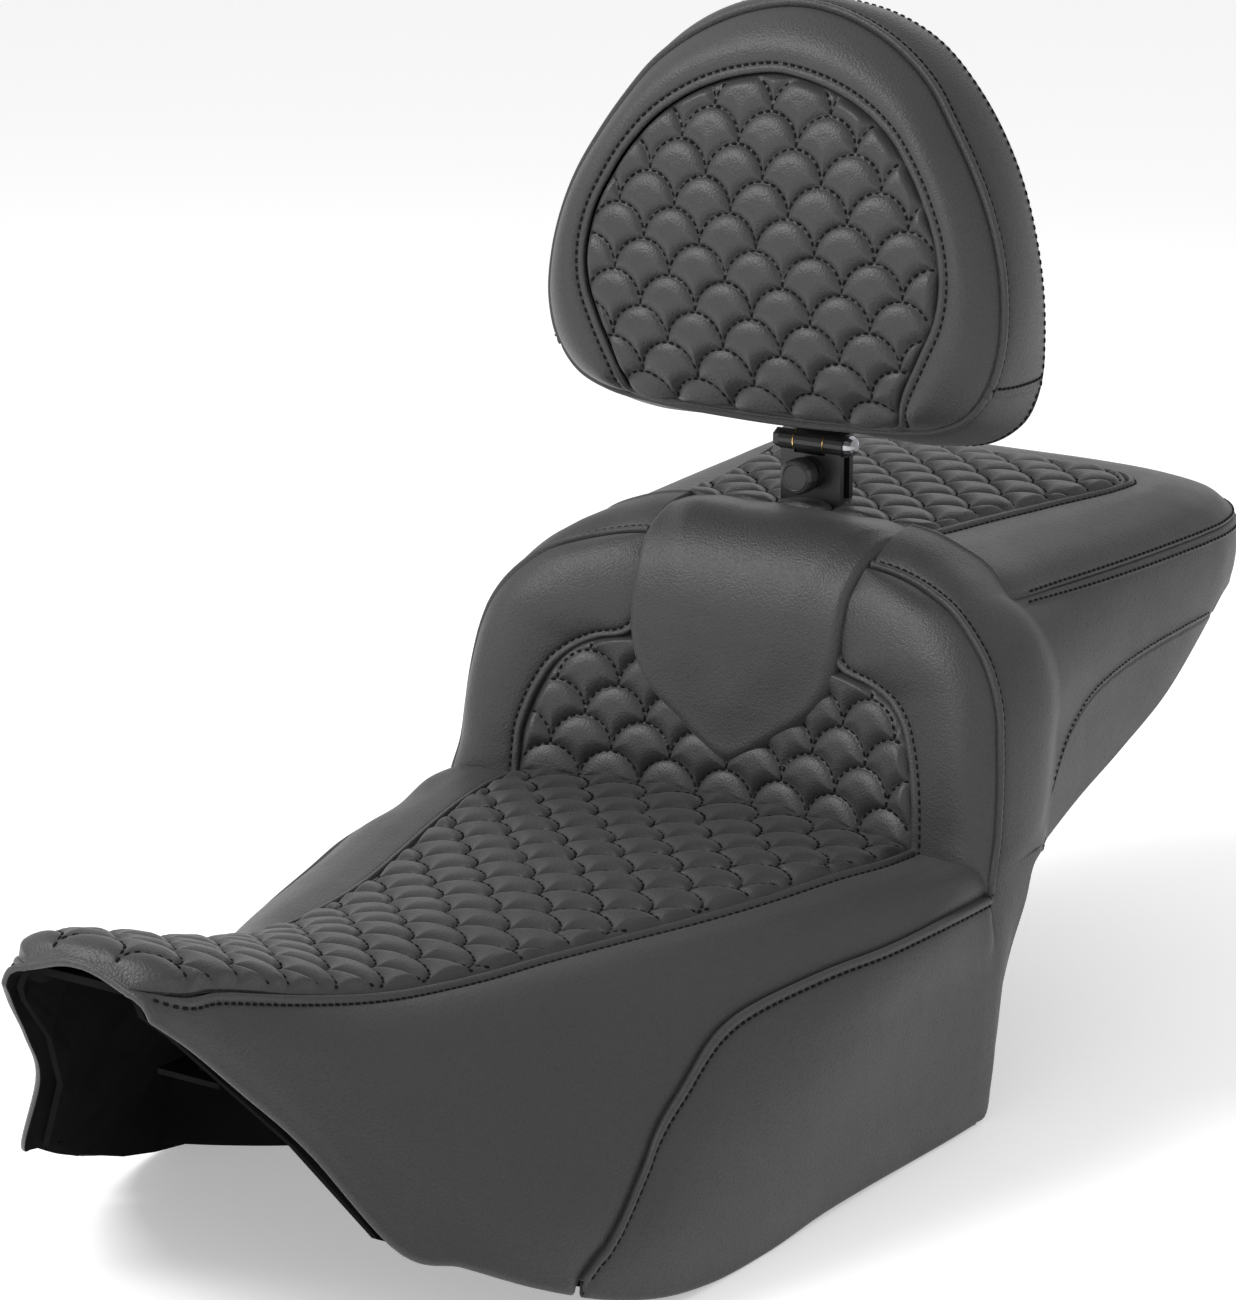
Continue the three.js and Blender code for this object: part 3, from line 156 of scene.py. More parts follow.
CORD_AT = np.array([0, 0.5, 1.0, 1.6, 2.2, 2.8, 3.4, 4.0, 4.6, 5.1, 5.6, 6.1, 6.6, 7.2, 8.0, 9.2, 11.0, 14.0])
EDGE_AT = np.array([0, 0.5, 1.1, 1.8, 2.8, 4.2, 6.0, 8.5, 12.0])
STITCH_D = 6.1
def cord(d, amount=1.3):
    """Height of a panel beside a seam: a crease, a padded cord under the cover, then the sunk stitch line."""
    r = np.sqrt(np.maximum(0, 1 - ((d - 2.8) / 2.5) ** 2))
    return amount * (1.5 * r - 1.9 * np.exp(-(d / 0.6) ** 2) - 0.35 * np.exp(-((d - STITCH_D) / 0.9) ** 2) - 0.45 * np.exp(-((d - STITCH_D) / 3.0) ** 2))
def tucked(d, deep=2.6, w=3.2):
    """Height of a padded panel that rolls down into a seam."""
    return -deep * np.exp(-(d / w) ** 1.0)

# ------------------------------------------------------------------ quilting
R_SCALE = 19.8
def scale_field(s, t, R=R_SCALE):
    """Distance from each point to the nearest stitched arc of the fish-scale pattern."""
    k0 = np.floor(t / R)
    best = np.full(s.shape, 1e9)
    for dk in (-1, 0, 1):
        k = k0 + dk; tc = k * R; off = np.mod(k, 2) * R
        i0 = np.round((s - off) / (2 * R))
        for di in (-1, 0, 1):
            c = off + (i0 + di) * 2 * R
            ds, dt = s - c, t - tc
            r = np.hypot(ds, dt)
            d = np.where(dt >= 0, np.abs(r - R), np.minimum(np.hypot(ds - R, dt), np.hypot(ds + R, dt)))
            best = np.minimum(best, d)
    return best

def quilt_height(d, H=4.4, D=10.5):
    x = np.clip(d / D, 0, 1)
    return H * (1 - (1 - x) ** 2.1) ** 0.80 - 0.55 * np.exp(-(d / 0.8) ** 2)

def arc_stitches(smin, smax, tmin, tmax, R=R_SCALE, pitch=5.0):
    """Centres and directions of the stitches along every arc inside a range, in pattern coordinates."""
    out = []
    n = max(6, int(round(math.pi * R / pitch)))
    for k in range(int(math.floor(tmin / R)) - 1, int(math.ceil(tmax / R)) + 1):
        off = (k % 2) * R
        for i in range(int(math.floor((smin - off) / (2 * R))) - 1, int(math.ceil((smax - off) / (2 * R))) + 2):
            c = off + i * 2 * R
            for j in range(n):
                a = math.pi * (j + 0.5) / n
                out.append((c + R * math.cos(a), k * R + R * math.sin(a), -math.sin(a), math.cos(a)))
    return np.array(out)

# ------------------------------------------------------------------ materials
def new_mat(name):
    m = bpy.data.materials.new(name); m.use_nodes = True
    nt = m.node_tree; nt.nodes.clear()
    out = nt.nodes.new("ShaderNodeOutputMaterial"); b = nt.nodes.new("ShaderNodeBsdfPrincipled")
    nt.links.new(b.outputs[0], out.inputs[0])
    return m, nt, b
def node(nt, kind, **kw):
    n = nt.nodes.new(kind)
    for k, v in kw.items():
        if k in n.inputs: n.inputs[k].default_value = v
        else: setattr(n, k, v)
    return n
def ramp(nt, src, stops):
    r = nt.nodes.new("ShaderNodeValToRGB")
    e = r.color_ramp.elements
    while len(e) > 1: e.remove(e[-1])
    e[0].position, e[0].color = stops[0][0], (*stops[0][1], 1)
    for p, c in stops[1:]:
        x = e.new(p); x.color = (*c, 1)
    nt.links.new(src, r.inputs[0]); return r
def math_node(nt, op, a, b):
    n = nt.nodes.new("ShaderNodeMath"); n.operation = op
    for i, v in enumerate((a, b)):
        if isinstance(v, (int, float)): n.inputs[i].default_value = v
        else: nt.links.new(v, n.inputs[i])
    return n.outputs[0]

def leather(name, base, rough=0.5, grain=1.0, spec=0.46):
    m, nt, b = new_mat(name)
    L = nt.links
    tc = nt.nodes.new("ShaderNodeTexCoord")
    warp = node(nt, "ShaderNodeTexNoise", Scale=300.0, Detail=2.0, Roughness=0.5)
    L.new(tc.outputs["Object"], warp.inputs["Vector"])
    mix = nt.nodes.new("ShaderNodeMixRGB"); mix.blend_type = "ADD"; mix.inputs[0].default_value = 0.0016
    L.new(tc.outputs["Object"], mix.inputs[1]); L.new(warp.outputs["Color"], mix.inputs[2])
    cells = node(nt, "ShaderNodeTexVoronoi", Scale=760.0); cells.feature = "SMOOTH_F1"; cells.inputs["Smoothness"].default_value = 0.6
    L.new(mix.outputs[0], cells.inputs["Vector"])
    fine = node(nt, "ShaderNodeTexNoise", Scale=2100.0, Detail=3.0, Roughness=0.6)
    L.new(tc.outputs["Object"], fine.inputs["Vector"])
    broad = node(nt, "ShaderNodeTexNoise", Scale=9.0, Detail=4.0, Roughness=0.55)
    L.new(tc.outputs["Object"], broad.inputs["Vector"])
    mid = node(nt, "ShaderNodeTexNoise", Scale=55.0, Detail=3.0, Roughness=0.5)
    L.new(tc.outputs["Object"], mid.inputs["Vector"])
    c = np.array(base)
    tone = ramp(nt, broad.outputs["Fac"], [(0.30, tuple(c * 0.94)), (0.55, tuple(c)), (0.75, tuple(c * 1.05))])
    pores = ramp(nt, cells.outputs["Distance"], [(0.0, (1.06, 1.06, 1.06)), (0.45, (1.0, 1.0, 1.0)), (0.8, (0.80, 0.80, 0.80))])
    mul = nt.nodes.new("ShaderNodeMixRGB"); mul.blend_type = "MULTIPLY"; mul.inputs[0].default_value = 0.85
    L.new(tone.outputs[0], mul.inputs[1]); L.new(pores.outputs[0], mul.inputs[2])
    geo = nt.nodes.new("ShaderNodeNewGeometry")
    # Pointiness ramp on the leather colour: lighter (up to 1.28) on convex ridges as edge wear, and darker (down to
    # 0.70) in concave creases and seams as painted shade.
    wear_and_crease_shade = ramp(nt, geo.outputs["Pointiness"], [(0.40, (0.70, 0.70, 0.70)), (0.5, (1.0, 1.0, 1.0)), (0.60, (1.28, 1.28, 1.28))])
    mul2 = nt.nodes.new("ShaderNodeMixRGB"); mul2.blend_type = "MULTIPLY"; mul2.inputs[0].default_value = 0.8
    L.new(mul.outputs[0], mul2.inputs[1]); L.new(wear_and_crease_shade.outputs[0], mul2.inputs[2])
    L.new(mul2.outputs[0], b.inputs["Base Color"])
    r1 = ramp(nt, mid.outputs["Fac"], [(0.3, (rough - 0.02,) * 3), (0.7, (rough + 0.03,) * 3)])
    r2 = math_node(nt, "ADD", r1.outputs[0], math_node(nt, "MULTIPLY", cells.outputs["Distance"], 0.10))
    L.new(r2, b.inputs["Roughness"])
    b.inputs["Specular IOR Level"].default_value = spec
    b.inputs["Sheen Weight"].default_value = 0.10; b.inputs["Sheen Roughness"].default_value = 0.45
    h = math_node(nt, "SUBTRACT", 1.0, cells.outputs["Distance"])
    h = math_node(nt, "ADD", math_node(nt, "MULTIPLY", h, 0.75), math_node(nt, "MULTIPLY", fine.outputs["Fac"], 0.35))
    bump = node(nt, "ShaderNodeBump", Strength=0.9 * grain, Distance=0.00038)
    L.new(h, bump.inputs["Height"])
    soft = node(nt, "ShaderNodeBump", Strength=0.10, Distance=0.0012)
    L.new(mid.outputs["Fac"], soft.inputs["Height"]); L.new(bump.outputs[0], soft.inputs["Normal"])
    L.new(soft.outputs[0], b.inputs["Normal"])
    m.diffuse_color = (*base, 1)
    return m

def plain(name, base, rough, metal=0.0, bump=0.0, scale=900.0, vary=0.12, spec=0.5, coat=0.0):
    m, nt, b = new_mat(name)
    L = nt.links
    tc = nt.nodes.new("ShaderNodeTexCoord")
    n = node(nt, "ShaderNodeTexNoise", Scale=scale, Detail=4.0, Roughness=0.6); L.new(tc.outputs["Object"], n.inputs["Vector"])
    w = node(nt, "ShaderNodeTexNoise", Scale=40.0, Detail=3.0, Roughness=0.6); L.new(tc.outputs["Object"], w.inputs["Vector"])
    c = np.array(base)
    tone = ramp(nt, w.outputs["Fac"], [(0.3, tuple(c * (1 - vary))), (0.7, tuple(c * (1 + vary)))])
    geo = nt.nodes.new("ShaderNodeNewGeometry")
    # Pointiness ramp on the colour: lighter (up to 1.5) on convex edges as wear, and darker (0.85) in concave creases
    # as painted shade.
    wear_and_crease_shade = ramp(nt, geo.outputs["Pointiness"], [(0.45, (0.85,) * 3), (0.52, (1.0,) * 3), (0.62, (1.5,) * 3)])
    mul = nt.nodes.new("ShaderNodeMixRGB"); mul.blend_type = "MULTIPLY"; mul.inputs[0].default_value = 0.7
    L.new(tone.outputs[0], mul.inputs[1]); L.new(wear_and_crease_shade.outputs[0], mul.inputs[2]); L.new(mul.outputs[0], b.inputs["Base Color"])
    r = ramp(nt, n.outputs["Fac"], [(0.3, (max(0.02, rough - 0.07),) * 3), (0.7, (min(1, rough + 0.07),) * 3)])
    L.new(r.outputs[0], b.inputs["Roughness"])
    b.inputs["Metallic"].default_value = metal; b.inputs["Specular IOR Level"].default_value = spec; b.inputs["Coat Weight"].default_value = coat
    if bump:
        k = node(nt, "ShaderNodeBump", Strength=bump, Distance=0.0002); L.new(n.outputs["Fac"], k.inputs["Height"]); L.new(k.outputs[0], b.inputs["Normal"])
    return m

M = {
    "smooth": leather("cover_smooth", (0.030, 0.0302, 0.0308), 0.40),
    "quilt": leather("cover_quilt", (0.027, 0.0272, 0.0278), 0.38, grain=0.8),
    "skirt": leather("cover_skirt", (0.031, 0.0312, 0.0318), 0.46),
    "rear": leather("cover_rear", (0.026, 0.0262, 0.0268), 0.52),
    "thread": plain("stitch_thread", (0.003, 0.003, 0.0033), 0.7, bump=0.6, scale=4000.0, spec=0.15),
    "pan": plain("pan_plastic", (0.0080, 0.0080, 0.0084), 0.85, bump=0.3, scale=1500.0, spec=0.0),
    "steel": plain("black_powder_coat", (0.010, 0.010, 0.0108), 0.38, bump=0.25, scale=2500.0, spec=0.6),
    "bright": plain("bright_plating", (0.36, 0.36, 0.38), 0.33, metal=1.0, bump=0.05, scale=600.0, vary=0.05),
    "brass": plain("brass", (0.78, 0.50, 0.20), 0.22, metal=1.0, bump=0.05, scale=600.0),
    "knob": plain("knob_plastic", (0.016, 0.016, 0.0170), 0.36, bump=0.2, scale=1800.0),
    "rubber": plain("rubber", (0.015, 0.015, 0.0155), 0.8, bump=0.5, scale=1200.0),
    "foam": plain("foam", (0.20, 0.205, 0.215), 0.9, bump=1.0, scale=700.0),
}


# ------------------------------------------------------------------ mesh making
def add_mesh(name, V, F, mat, body, stands=(), thick=0.0, smooth=True):
    V = np.asarray(V, float)
    me = bpy.data.meshes.new(name)
    me.from_pydata(((V + SHIFT) / 1000.0).tolist(), [], F.tolist() if isinstance(F, np.ndarray) else [list(map(int, f)) for f in F])
    me.validate(); me.update()
    if smooth: me.polygons.foreach_set("use_smooth", [True] * len(me.polygons))
    o = bpy.data.objects.new(name, me)
    bpy.context.scene.collection.objects.link(o)
    me.materials.append(mat)
    if thick:
        s = o.modifiers.new("thickness", "SOLIDIFY"); s.thickness = thick / 1000; s.offset = -1; s.use_even_offset = False; s.use_rim = True
    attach(o, body)
    if stands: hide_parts(*stands)
    return o

def averaged(A, w, closed=False):
    """Moving average along a line of points or vectors."""
    if w < 2: return A
    k = np.ones(2 * w + 1) / (2 * w + 1)
    pad = [(w, w), (0, 0)]
    B = np.pad(A, pad, mode="wrap" if closed else "reflect")
    return np.stack([np.convolve(B[:, c], k, mode="valid") for c in range(A.shape[1])], 1)

class Skin:
    """One cover made of grids and rims that share vertices."""
    def __init__(self): self.V, self.N, self.F, self.n = [], [], [], 0
    def points(self, P, N):
        i = self.n; m = int(np.prod(P.shape[:-1])); self.n += m
        self.V.append(np.asarray(P, float).reshape(-1, 3)); self.N.append(np.asarray(N, float).reshape(-1, 3))
        return np.arange(i, i + m).reshape(P.shape[:-1])
    def quads(self, idx):
        self.F.append(np.stack([idx[:-1, :-1], idx[1:, :-1], idx[1:, 1:], idx[:-1, 1:]], -1).reshape(-1, 4))
    def fan(self, ring, P, N):
        c = self.points(np.asarray(P)[None], np.asarray(N)[None])[0]
        nxt = np.roll(ring, -1)
        self.F.append(np.stack([ring, nxt, np.full_like(ring, c), np.full_like(ring, -1)], 1))
    def rim(self, line, E, n, T, kind, r=2.2):
        """Rows past an edge: tuck goes down into the seam, hem rolls right round, roll stops after a quarter turn."""
        rows = []
        if kind == "tuck":
            for a, d in ((0.15, 1.0), (0.2, 2.4), (0.1, 4.0)): rows.append((E + T * a - n * d, n))
        else:
            c = E - n * r
            for th in ((25, 50, 75, 100, 125, 150, 178) if kind == "hem" else (25, 50, 75, 98, 120)):
                t = math.radians(th); d = n * math.cos(t) + T * math.sin(t); rows.append((c + d * r, d))
            if kind == "hem": rows += [(E - n * 2 * r - T * 5, -n), (E - n * 2 * r - T * 10, -n)]
        self.quads(np.array([line] + [self.points(p, q) for p, q in rows]))
    def make(self, name, mat, body, stands=(), slot=None, thick=1.5, mirror=False):
        V, N = np.concatenate(self.V), np.concatenate(self.N); F = np.concatenate(self.F)
        for tag, s in ((("left", 1.0), ("right", -1.0)) if mirror else (("", 1.0),)):
            v, n = V * [s, 1, 1], N * [s, 1, 1]
            k = np.where(F[:, 3] < 0, F[:, 2], F[:, 3])
            g = np.cross(v[F[:, 1]] - v[F[:, 0]], v[F[:, 2]] - v[F[:, 0]]) + np.cross(v[F[:, 2]] - v[F[:, 0]], v[k] - v[F[:, 0]])
            flip = (g * (n[F[:, 0]] + n[F[:, 1]] + n[F[:, 2]] + n[k])).sum(1) < 0
            out = []
            for f, w in zip(F.tolist(), flip.tolist()):
                f = f[:3] if f[3] < 0 else f
                out.append(f[::-1] if w else f)
            add_mesh(name.format(tag), v, out, mat, body, [x.format(tag) for x in stands], thick)

def edge_frame(P, D, N0, side, w=4):
    """Edge line of a displaced grid with smoothed normal and outward direction taken from the plain surface."""
    if side == "a0": E, e, i, n = D[0], P[0], P[2], N0[0]
    elif side == "a1": E, e, i, n = D[-1], P[-1], P[-3], N0[-1]
    elif side == "b0": E, e, i, n = D[:, 0], P[:, 0], P[:, 2], N0[:, 0]
    else: E, e, i, n = D[:, -1], P[:, -1], P[:, -3], N0[:, -1]
    loop = side[0] == "b" and np.linalg.norm(P[0, 0] - P[-1, 0]) < 1e-6
    av = lambda A: np.concatenate([averaged(A[:-1], w, True), averaged(A[:-1], w, True)[:1]]) if loop else averaged(A, w)
    n = unit(av(n)); T = unit(e - i); T = unit(av(T)); T = unit(T - n * (T * n).sum(-1, keepdims=True))
    return E, n, T

def ring_normals(P, out):
    return normals(np.concatenate([P[-4:-1], P, P[1:4]], 0), out)[3:-3]
def panel(name, P, h, out, mat, body, stands=(), slot=None, edges=None, thick=1.5, mirror=False, r=2.2, loop=False):
    """A cover panel: grid P displaced by h along its normals, its edges tucked in or rolled. Returns displaced points and normals."""
    nf = ring_normals if loop else normals
    N0 = nf(P, out); D = P + N0 * np.asarray(h)[..., None]; N1 = nf(D, out)
    sk = Skin(); idx = sk.points(D, N1)
    if loop: idx[-1] = idx[0]
    sk.quads(idx)
    for side, kind in (edges or {}).items():
        line = {"a0": idx[0], "a1": idx[-1], "b0": idx[:, 0], "b1": idx[:, -1]}[side]
        E, n, T = edge_frame(P, D, N0, side)
        kinds = kind if isinstance(kind, list) else [(0, len(line), kind, r)]
        for a, b, k, rr in kinds:
            b = len(line) if b is None else b
            sk.rim(line[a:b], E[a:b], n[a:b], T[a:b], k, rr)
    sk.make(name, mat, body, stands, slot, thick, mirror)
    return D, N1

def polar(outline, centre, at, rings, n):
    """Grid over a star-shaped outline: rings by distance from the border, then evenly to the middle."""
    O = spline(outline, n, closed=True); C = np.array(centre, float)
    d = O - C; L = np.linalg.norm(d, axis=1)
    rows, dist = [], []
    for e in at: rows.append(O - d / L[:, None] * e); dist.append(np.full(n, float(e)))
    for f in np.linspace(0, 1, rings + 1)[1:-1]:
        k = (L - at[-1]) * (1 - f); rows.append(C + d / L[:, None] * k[:, None]); dist.append(L - k)
    return np.array(rows), np.array(dist)

def mirror_outline(half):
    h = [list(p) for p in half]
    return h + [[-p[0], *p[1:]] for p in reversed(h) if abs(p[0]) > 1e-6]

def polar_panel(name, P, h, out, mat, body, stands, slot, tuck=4.0, thick=1.5):
    N0 = normals(P, out, wrap=True); D = P + N0 * h[..., None]; N1 = normals(D, out, wrap=True)
    sk = Skin(); idx = sk.points(D, N1); w = np.concatenate([idx, idx[:, :1]], 1); sk.quads(w)
    n = unit(averaged(N0[0], 4, True)); T = unit(averaged(unit(P[0] - P[2]), 4, True)); T = unit(T - n * (T * n).sum(-1, keepdims=True))
    rows = [w[0]]
    for a, d in ((0.15, 0.25), (0.2, 0.6), (0.1, 1.0)):
        q = sk.points(D[0] + T * a - n * tuck * d, n); rows.append(np.concatenate([q, q[:1]]))
    sk.quads(np.array(rows))
    sk.fan(idx[-1], D[-1].mean(0), N1[-1].mean(0))
    sk.make(name, mat, body, stands, slot, thick)
    m, b = D.shape[:2]
    F = [[i * b + j, (i + 1) * b + j, (i + 1) * b + (j + 1) % b, i * b + (j + 1) % b] for i in range(m - 1) for j in range(b)]
    return D, N1, BVHTree.FromPolygons(D.reshape(-1, 3).tolist(), F)

def grid_tree(D):
    m, b = D.shape[:2]
    i, j = np.meshgrid(np.arange(m - 1), np.arange(b - 1), indexing="ij"); i, j = i.ravel(), j.ravel()
    F = np.stack([i * b + j, (i + 1) * b + j, (i + 1) * b + j + 1, i * b + j + 1], 1)
    return BVHTree.FromPolygons(D.reshape(-1, 3).tolist(), F.tolist())

def capsules(name, C, T, N, mat, body, length=3.0, rad=0.84, lift=0.40, slot="stitch_thread", flat=0.72):
    """Many stitches in one mesh: centres, directions and surface normals."""
    C, T, N = np.asarray(C, float), unit(T), unit(N)
    B = unit(np.cross(N, T)); N = np.cross(T, B)
    k = 6; prof = [(-0.5, 0.4), (-0.36, 0.92), (0.0, 1.0), (0.36, 0.92), (0.5, 0.4)]
    ring = [(math.cos(2 * math.pi * i / k), math.sin(2 * math.pi * i / k)) for i in range(k)]
    off = np.array([(a * length, r * rad * c, r * rad * flat * s) for a, r in prof for c, s in ring])
    V = C[:, None] + N[:, None] * lift + off[None, :, 0:1] * T[:, None] + off[None, :, 1:2] * B[:, None] + off[None, :, 2:3] * N[:, None]
    m = len(off)
    F = [[a * k + i, a * k + (i + 1) % k, (a + 1) * k + (i + 1) % k, (a + 1) * k + i] for a in range(len(prof) - 1) for i in range(k)]
    base = np.arange(len(C)) * m
    quads = (np.array(F)[None] + base[:, None, None]).reshape(-1, 4).tolist()
    caps = (np.array([list(range(k))[::-1], [(len(prof) - 1) * k + i for i in range(k)]])[None] + base[:, None, None]).reshape(-1, k).tolist()
    return add_mesh(name, V.reshape(-1, 3), quads + caps, mat, body, ())

class Stitches:
    """Collects stitches, so that each seam becomes one mesh."""
    def __init__(self): self.sets = {}
    def add(self, key, C, T, N): self.sets.setdefault(key, []).append((np.asarray(C), np.asarray(T), np.asarray(N)))
    def line(self, key, P, N, pitch=5.0, mirror=False, closed=False, start=1.5):
        P, N = np.asarray(P, float), np.asarray(N, float)
        if closed: P, N = np.vstack([P, P[:1]]), np.vstack([N, N[:1]])
        s = arc(P); n = int((s[-1] - start) / pitch)
        if n < 1: return
        at = start + np.arange(n) * (s[-1] - start) / n
        f = lambda x, A: np.stack([np.interp(x, s, A[:, c]) for c in range(3)], 1)
        C, T, NN = f(at, P), unit(f(np.minimum(at + 0.8, s[-1]), P) - f(np.maximum(at - 0.8, 0), P)), unit(f(at, N))
        self.add(key, C, T, NN)
        if mirror:
            q = np.array([-1, 1, 1]); self.add(key, C * q, T * q, NN * q)
    def onto(self, key, tree, p, t, n, up=12.0):
        """Stitches dropped onto a finished surface."""
        C, TT, NN = [], [], []
        for a, b, c in zip(p, t, n):
            hit, nn, _, _ = tree.ray_cast(Vector(a + c * up), Vector(-c), up + 8)
            if hit is not None: C.append(np.array(hit)); TT.append(b); NN.append(c)
        if C: self.add(key, C, TT, NN)
    def make(self, names):
        for key, (name, body, kw) in names.items():
            if key in self.sets:
                C, T, N = (np.vstack([x[i] for x in self.sets[key]]) for i in range(3))
                capsules(name, C, T, N, M["thread"], body, **kw)
ST = Stitches()

def column_at(D, N, dist, d):
    """The line on a panel at a fixed distance from one border."""
    C, NN = [], []
    for i in range(len(D)):
        x = dist[i]; o = np.argsort(x)
        C.append([np.interp(d, x[o], D[i, o, c]) for c in range(3)]); NN.append([np.interp(d, x[o], N[i, o, c]) for c in range(3)])
    return np.array(C), unit(np.array(NN))
def resamp_n(q, n):
    s = arc(q); return np.stack([np.interp(np.linspace(0, s[-1], n), s, q[:, c]) for c in range(3)], 1)

# ------------------------------------------------------------------ rider part
RY = np.array([r[0] for r in RIDER], float)
RP = np.array([r[1] for r in RIDER], float)
def section(y):
    p = hermite(RY, RP.reshape(len(RY), -1), np.clip(y, RY[0], RY[-1])).reshape(-1, 8, 2)[0]
    full = np.vstack([(p[1:] * [-1, 1])[::-1], p])
    return full, arc(full)
def at_u(y, u):
    full, s = section(y)
    return hermite(s, full, np.interp(np.asarray(u) + 7, np.arange(15), s))
def rear_shift(x, y): return np.where(y > -60, 17 * np.maximum(0, 1 - (x / 138) ** 2) * np.clip((y + 60) / 56, 0, 1) ** 2, 0)

YT = np.linspace(-558, -4, 278); XT = np.linspace(0, 150, 151)
ZT = []
for y in YT:
    q = at_u(y, np.linspace(0, 2.2, 120)); q[:, 0] = np.maximum.accumulate(q[:, 0]); ZT.append(np.interp(XT, q[:, 0], q[:, 1]))
ZT = np.array(ZT)
def rider_top(x, y):
    """Point of the rider quilt's plain surface for arrays x, y."""
    shp = np.broadcast(x, y).shape
    X, Y = np.broadcast_to(x, shp).ravel(), np.broadcast_to(y, shp).ravel()
    i = np.clip((Y - YT[0]) / (YT[1] - YT[0]), 0, len(YT) - 1.001); k = i.astype(int); f = i - k
    j = np.clip(np.sqrt(X**2 + 4) - 2, 0, len(XT) - 1.001); l = j.astype(int); g = j - l
    z = (ZT[k, l] * (1 - f) + ZT[k + 1, l] * f) * (1 - g) + (ZT[k, l + 1] * (1 - f) + ZT[k + 1, l + 1] * f) * g
    return np.stack([X, Y + rear_shift(X, Y), z], 1).reshape(*shp, 3)
centre_len = arc(np.stack([YT, ZT[:, 0]], 1))
def t_of(y): return np.interp(y, YT, centre_len)
def y_of(t): return np.interp(t, centre_len, YT)
RIDER_S0, RIDER_T0 = 0.0, 6.0
YQ = np.concatenate([np.arange(-558, -546, 1.0), np.arange(-546, -4.4, 1.5), [-4]])
half_w = hermite(RY, RP[:, 1, 0], YQ)
nx = 180
W = half_w[:, None]
f = np.linspace(-1, 1, nx); f = np.sign(f) * (1 - (1 - np.abs(f)) ** 1.06)
X = W * f[None, :]; Yg = np.broadcast_to(YQ[:, None], X.shape)
P = rider_top(X, Yg)
dedge = W - np.abs(X); dfront = YQ[:, None] + 558 + 0 * X
dq = scale_field(X - RIDER_S0, t_of(Yg) - RIDER_T0)
h = quilt_height(dq, 3.9) * smoothstep(dedge, 0.3, 6.0) * (0.25 * smoothstep(dfront, 1, 8) + 0.75 * smoothstep(dfront, 4.0, 34.0)) + 1.2 * smoothstep(dedge, 0, 5) * smoothstep(dfront, 0, 10) - 1.4 * np.exp(-dedge / 0.9) * smoothstep(dfront, 0, 26)
D, N = panel("rider_quilt", P, h, (0, 0, 1, 0), M["quilt"], "seat", ["rider_quilt_panel", "rider_foam"], "leather_quilt", {"b0": "tuck", "b1": "tuck", "a1": "tuck"})
tree = grid_tree(D)
N00 = normals(P, (0, 0, 1, 0)); half_n = nx // 2
LIP = [(D[0, half_n:][::-1], N00[0, half_n:][::-1], np.tile([0, -1.0, 0], (nx - half_n, 1)))]  # from the seam at +x to the middle
def frame_at(fn, x, y, dx, dy, e=1.2):
    p = fn(x, y); t = fn(x + dx * e, y + dy * e) - fn(x - dx * e, y - dy * e)
    n = np.cross(fn(x + e, y) - fn(x - e, y), fn(x, y + e) - fn(x, y - e))
    return p, unit(t), unit(n)
a = arc_stitches(-140, 140, -RIDER_T0, centre_len[-1] - RIDER_T0)
s_, t_ = a[:, 0] + RIDER_S0, a[:, 1] + RIDER_T0
ok = (t_ > 6) & (t_ < centre_len[-1] - 2); s_, t_, a = s_[ok], t_[ok], a[ok]; ys = y_of(t_)
ok = np.abs(s_) < hermite(RY, RP[:, 1, 0], ys) - 3.0; s_, a, ys = s_[ok], a[ok], ys[ok]
p, t, n = frame_at(rider_top, s_, ys, a[:, 2], a[:, 3])
ST.onto("rider", tree, p, t, n)

# side panels
YS = np.concatenate([np.arange(-558, -530, 1.4), np.arange(-530, -20, 3.4), np.arange(-20, -4, 1.6), [-4]])
u1s = np.where(YS < -379, 7.0, np.minimum(table(SKIRT_SEAM, YS), 6.92))
G = []
for y, u1 in zip(YS, u1s):
    q = at_u(y, np.linspace(1, u1, 90)); G.append(np.stack([q[:, 0], y + rear_shift(q[:, 0], y), q[:, 1]], 1))
P, dl, dh = resample(G, CORD_AT, EDGE_AT, 26)
seamed = smoothstep(YS, -386, -374)[:, None]
nose = smoothstep(YS + 558, 0, 26)[:, None]
h = cord(dl) * nose + tucked(dh, 3.0, 3.0) * seamed + 1.5 * smoothstep(dl, 8, 30) * smoothstep(dh, 0, 30)
k = int(np.searchsorted(YS, -379))
D, N = panel("side_panel_{}_cover", P, h, (0, -200, -60), M["smooth"], "seat", ["side_panel_{}"], "leather_smooth",
    {"b0": "tuck", "b1": [(k, None, "tuck", 2)], "a1": "tuck"}, mirror=True)
N00 = normals(P, (0, -200, -60)); kk = k + 3
LIP = [(D[:kk, -1][::-1], N00[:kk, -1][::-1], unit(P[:kk, -1] - P[:kk, -4])[::-1]), (D[0, :-1][::-1], N00[0, :-1][::-1], np.tile([0, -1.0, 0], (D.shape[1] - 1, 1)))] + LIP
c, cn = column_at(D, N, dl, STITCH_D); ST.line("rider_seam", c[3:], cn[3:], mirror=True)

